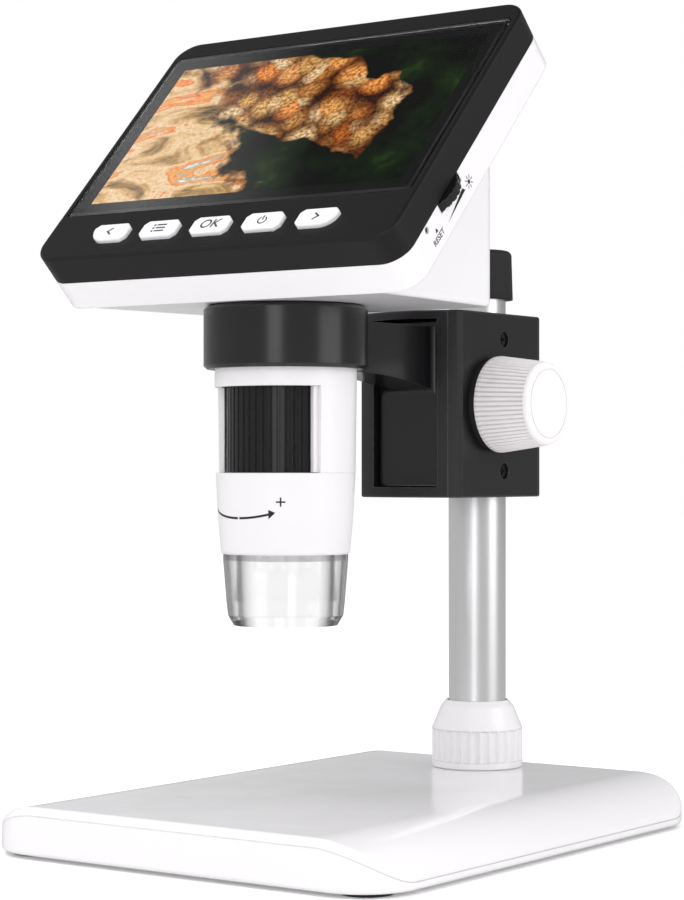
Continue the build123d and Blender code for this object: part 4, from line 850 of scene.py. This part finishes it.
class MICROSCOPE_OT_keys(bpy.types.Operator):
    """Make the five key caps, and the surrounds that fit the bezel's openings round them"""
    bl_idname = "microscope.keys"
    bl_label = "Make the keys"

    def execute(self, context):
        foot = bezel_front - key_depth
        for index, name in enumerate(key_names):
            side = {"previous": -1, "next": 1}.get(name, 0)
            middle = (index - 2) * key_pitch
            shape = bmesh.new()
            place = screen_matrix(middle + cap_shift[0], key_row + cap_shift[1], foot)
            add_patch(shape, place, key_corners(cap_size, cap_cut, cap_sweep, side), key_top - foot)
            heights = {vert: vert.co.dot(screen_out) for vert in shape.verts}
            top = max(heights.values())
            rim = [edge for edge in shape.edges if all(top - heights[vert] < 1e-6 for vert in edge.verts)]
            bmesh.ops.bevel(shape, geom=rim, offset=cap_rounding, segments=3, profile=0.5, affect="EDGES",
                            material=-1)
            cap = finish_piece(shape, "cap_" + name, "key_satin", "button_" + name)
            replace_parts(cap, "key_" + name)

            shape = bmesh.new()
            opening = key_corners(opening_size, opening_cut, opening_sweep, side, opening_overlap)
            hole = [(x + cap_shift[0], y + cap_shift[1])
                    for x, y in key_corners(cap_size, cap_cut, cap_sweep, side, cap_gap)]
            add_plate(shape, screen_matrix(middle, key_row, foot), opening, hole, key_depth)
            finish_piece(shape, "surround_" + name, "bezel_satin", "head")
        return {"FINISHED"}


class MICROSCOPE_OT_key_symbols(bpy.types.Operator):
    """Print a symbol on each of the five keys"""
    bl_idname = "microscope.key_symbols"
    bl_label = "Print the key symbols"

    def execute(self, context):
        marks = context.scene.microscope_marks
        line, ink = marks.line, marks.ink
        word_height, slant, symbol_scale = 4.1 * mm, 0.15, 0.8
        arrow_half_width, arrow_half_height = 0.75 * mm, 1.25 * mm
        row_pitch, row_dot, row_start, row_end = 1.35 * mm, -2.1 * mm, -0.9 * mm, 2.2 * mm
        dot_radius, fine_line = 0.42 * mm, line * 0.8
        loop_radius, loop_start, loop_sweep = 1.45 * mm, math.radians(125), math.radians(290)
        stroke_start, stroke_end = 0.3 * mm, 1.7 * mm
        for index, name in enumerate(key_names):
            matrix = screen_matrix((index - 2) * key_pitch + cap_shift[0], key_row + cap_shift[1], key_top)
            body = "button_" + name
            if name == "ok":
                add_words(matrix, "OK", word_height, "symbol_ok", "grey_ink", body, ink, slant)
                continue
            matrix = matrix @ Matrix.Diagonal((symbol_scale, symbol_scale, 1, 1))
            shape = bmesh.new()
            if name in ("previous", "next"):
                side = -arrow_half_width if name == "previous" else arrow_half_width
                for up in (arrow_half_height, -arrow_half_height):
                    add_bar(shape, matrix, (-side, up), (side, 0), line, ink)
            elif name == "menu":
                for up in (row_pitch, 0, -row_pitch):
                    add_dot(shape, matrix, (row_dot, up), dot_radius, ink)
                    add_bar(shape, matrix, (row_start, up), (row_end, up), line, ink)
            else:
                add_arc(shape, matrix, (0, 0), loop_radius, loop_start, loop_sweep, fine_line, ink)
                add_bar(shape, matrix, (0, stroke_start), (0, stroke_end), fine_line, ink)
            finish_piece(shape, "symbol_" + name, "grey_ink", body)
        return {"FINISHED"}


class MICROSCOPE_OT_side_marks(bpy.types.Operator):
    """Print the dial's brightness wedge and sun, and the reset mark, on the head's right side"""
    bl_idname = "microscope.side_marks"
    bl_label = "Print the side marks"

    def execute(self, context):
        ink = context.scene.microscope_marks.ink
        sun = side_matrix(-14.1 * mm, -12.2 * mm)
        sun_radius, ray_start, ray_end, ray_width = 0.55 * mm, 0.95 * mm, 1.6 * mm, 0.22 * mm
        wedge = ((-16.6 * mm, -12.5 * mm), (-17.5 * mm, -11.4 * mm), (-27.4 * mm, -13.1 * mm))
        pointer = ((-33.3 * mm, -11.5 * mm), (-32.1 * mm, -11.5 * mm), (-32.7 * mm, -10.4 * mm))
        word, word_height = side_matrix(-33.0 * mm, -12.9 * mm), 2.1 * mm
        shape = bmesh.new()
        add_dot(shape, sun, (0, 0), sun_radius, ink)
        for ray in range(8):
            turn = math.radians(45 * ray)
            add_bar(shape, sun, polar(ray_start, turn), polar(ray_end, turn), ray_width, ink)
        for corners in (wedge, pointer):
            add_patch(shape, side_matrix(0, 0), corners, ink)
        finish_piece(shape, "side_marks", "black_ink", "head")
        add_words(word, "RESET", word_height, "reset_label", "black_ink", "head", ink)
        return {"FINISHED"}


class MICROSCOPE_OT_barrel_mark(bpy.types.Operator):
    """Print the curved arrow and the plus that show which way the focus ring turns"""
    bl_idname = "microscope.barrel_mark"
    bl_label = "Print the focus arrow"

    def execute(self, context):
        ink = context.scene.microscope_marks.ink
        low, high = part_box("barrel_shroud")
        lowest, half_line, half_head = low.z + 9.0 * mm, 0.27 * mm, 1.15 * mm
        line_start, middle, line_end, half_gap = -138.0, -96.0, -67.0, 0.9      # azimuths in degrees
        head_start, head_end, plus_middle = -67.4, -61.6, -57.1
        plus_half_turn, line_half_turn = 3.9, 0.66
        plus_height, plus_half_line, plus_half_height = low.z + 12.96 * mm, 0.19 * mm, 1.12 * mm
        rise = 0.00115 * mm                                                     # for a square degree

        def level(azimuth):
            """The arrow's line dips to its lowest in the middle and rises to both sides."""
            return lowest + rise * (azimuth - middle) ** 2

        shape = bmesh.new()
        for start, end in ((line_start, middle - half_gap), (middle + half_gap, line_end)):
            add_strip(shape, start, end, 24, ink, lambda azimuth, part: (
                level(azimuth) - half_line, level(azimuth) + half_line))
        add_strip(shape, head_start, head_end, 8, ink, lambda azimuth, part: (
            level(azimuth) - half_head * (1 - part), level(azimuth) + half_head * (1 - part)))
        finish_piece(shape, "focus_arrow", "black_ink", "head")

        shape = bmesh.new()
        for half_turn, half_height in ((plus_half_turn, plus_half_line), (line_half_turn, plus_half_height)):
            add_strip(shape, plus_middle - half_turn, plus_middle + half_turn, 4, ink, lambda azimuth, part: (
                plus_height - half_height, plus_height + half_height))
        finish_piece(shape, "focus_plus", "black_ink", "head")
        return {"FINISHED"}


class MICROSCOPE_OT_stage(bpy.types.Operator):
    """Set the floor, the lamps, the sky and the camera"""
    bl_idname = "microscope.stage"
    bl_label = "Set the studio"

    def execute(self, context):
        scene = context.scene
        studio = scene.microscope_studio
        scene.view_settings.view_transform = "Standard"
        half_floor = 4.0
        self.make_floor_finish(studio.mirrored)
        shape = bmesh.new()
        bmesh.ops.create_grid(shape, x_segments=1, y_segments=1, size=half_floor)
        data = bpy.data.meshes.new("floor")
        shape.to_mesh(data)
        shape.free()
        data.materials.append(shared["floor_paper"])
        add_object("floor", data)
        self.make_sky(scene, studio.sky, studio.mirrored)
        self.add_lamp("side_lamp", (1.29, 0.24, 0.45), (0.85, 1.1), studio.side_light)
        self.add_lamp("front_lamp", (0.54, -1.35, 0.45), (0.5, 1.2), studio.front_light)
        self.add_lamp("top_lamp", (-0.3, -0.5, 1.4), (0.9, 0.9), studio.top_light, mirrored=False)
        camera = add_object("camera", bpy.data.cameras.new("camera"))
        camera.data.lens = studio.lens
        camera.data.clip_start = 0.05
        camera.data.clip_end = 20
        camera.location = studio.eye
        camera.rotation_euler = (math.radians(90) + studio.pitch, 0, studio.heading)
        scene.camera = camera
        return {"FINISHED"}

    @staticmethod
    def make_floor_finish(mirrored):
        """White paper: even white to the eye with the object's soft shadow kept, grey in reflections."""
        tree, shader = start_material("floor_paper")
        set_inputs(shader, Base_Color=grey(0.9), Roughness=0.9)
        path = add_node(tree, "ShaderNodeLightPath", (-100, -300)).outputs
        seen = math_node(tree, "MAXIMUM", (150, -300), path["Is Camera Ray"], path["Is Transmission Ray"])
        glow = add_node(tree, "ShaderNodeEmission", (500, -250),
                        Strength=math_node(tree, "MULTIPLY", (350, -300), seen, 0.2))
        both = add_node(tree, "ShaderNodeAddShader", (700, -100))
        shown = add_node(tree, "ShaderNodeEmission", (700, -300), Strength=mirrored)
        chosen = add_node(tree, "ShaderNodeMixShader", (900, -100), Fac=path["Is Glossy Ray"])
        feed(both.inputs[0], shader.outputs["BSDF"])
        feed(both.inputs[1], glow.outputs["Emission"])
        feed(chosen.inputs[1], both.outputs["Shader"])
        feed(chosen.inputs[2], shown.outputs["Emission"])
        tree.nodes["Material Output"].location = (1100, 0)
        set_inputs(tree.nodes["Material Output"], Surface=chosen.outputs["Shader"])

    @staticmethod
    def make_sky(scene, level, mirrored):
        """Even light from all round: pure white to the camera, grey to shiny surfaces and darker towards
        the back. Shiny and clear pieces see it dark overhead, apart from a narrow band."""
        scene.world = bpy.data.worlds.new("studio_sky")
        scene.world.use_nodes = True
        tree = scene.world.node_tree
        path = add_node(tree, "ShaderNodeLightPath", (-700, 0)).outputs
        glossy, through = path["Is Glossy Ray"], path["Is Transmission Ray"]
        direction = add_node(tree, "ShaderNodeTexCoord", (-1100, -300)).outputs["Generated"]
        backward = math_node(tree, "DOT_PRODUCT", (-900, -300), direction, (0.09, 0.996, 0.0),
                             kind="ShaderNodeVectorMath")
        dim = map_range(tree, (-700, -300), backward, 0.35, 0.85, To_Min=mirrored, To_Max=mirrored * 0.6)
        height = add_node(tree, "ShaderNodeSeparateXYZ", (-900, -550), Vector=direction).outputs["Z"]
        overhead = ramp(tree, (-700, -550), height, (0.70, grey(1.0)), (0.738, grey(0.25)),
                        (0.757, grey(0.9)), (0.80, grey(0.07)))
        tone = math_node(tree, "MULTIPLY", (-550, -400), dim, overhead)
        shown = math_node(tree, "MULTIPLY", (-450, -200), tone, glossy)
        plain = math_node(tree, "MULTIPLY_ADD", (-450, 0), glossy, -level, level)
        both = math_node(tree, "ADD", (-250, -100), shown, plain)
        clear = math_node(tree, "MULTIPLY", (-450, 350), through, overhead)
        seen = math_node(tree, "MAXIMUM", (-250, 250), path["Is Camera Ray"], clear)
        solid = math_node(tree, "SUBTRACT", (-250, 50), 1.0, through)
        rest = math_node(tree, "MULTIPLY", (-50, -100), both, solid)
        set_inputs(tree.nodes["Background"], Color=grey(1),
                   Strength=math_node(tree, "MAXIMUM", (-50, 100), seen, rest))

    @staticmethod
    def add_lamp(name, place, size, power, mirrored=True):
        """A rectangular soft light aimed at the object's middle, seen in shiny surfaces or not."""
        middle = Vector((0, 0, 0.10))
        light = bpy.data.lights.new(name, "AREA")
        light.shape = "RECTANGLE"
        light.size, light.size_y = size
        light.energy = power
        lamp = add_object(name, light)
        lamp.location = place
        lamp.visible_glossy = mirrored
        lamp.rotation_euler = (middle - lamp.location).to_track_quat("-Z", "Y").to_euler()


class MICROSCOPE_PT_panel(bpy.types.Panel):
    """Lists the operators in the order they run"""
    bl_idname = "MICROSCOPE_PT_panel"
    bl_label = "Digital microscope"
    bl_space_type = "VIEW_3D"
    bl_region_type = "UI"
    bl_category = "Microscope"

    def draw(self, context):
        for operator in operators:
            self.layout.operator(operator.bl_idname)
        for name, settings in groups:
            box = self.layout.box()
            for field in settings.__annotations__:
                box.prop(getattr(context.scene, name), field)


operators = (
    MICROSCOPE_OT_finishes,
    MICROSCOPE_OT_focus_ring,
    MICROSCOPE_OT_screen,
    MICROSCOPE_OT_keys,
    MICROSCOPE_OT_key_symbols,
    MICROSCOPE_OT_side_marks,
    MICROSCOPE_OT_barrel_mark,
    MICROSCOPE_OT_stage,
)
classes = tuple(settings for name, settings in groups) + operators + (MICROSCOPE_PT_panel,)


def register():
    for entry in classes:
        bpy.utils.register_class(entry)
    for name, settings in groups:
        setattr(bpy.types.Scene, name, PointerProperty(type=settings))


def unregister():
    for name, settings in groups:
        delattr(bpy.types.Scene, name)
    for entry in reversed(classes):
        bpy.utils.unregister_class(entry)


def main():
    register()
    bpy.ops.microscope.finishes()
    bpy.ops.microscope.focus_ring()
    bpy.ops.microscope.screen()
    bpy.ops.microscope.keys()
    bpy.ops.microscope.key_symbols()
    bpy.ops.microscope.side_marks()
    bpy.ops.microscope.barrel_mark()
    bpy.ops.microscope.stage()


if __name__ == "__main__":
    main()
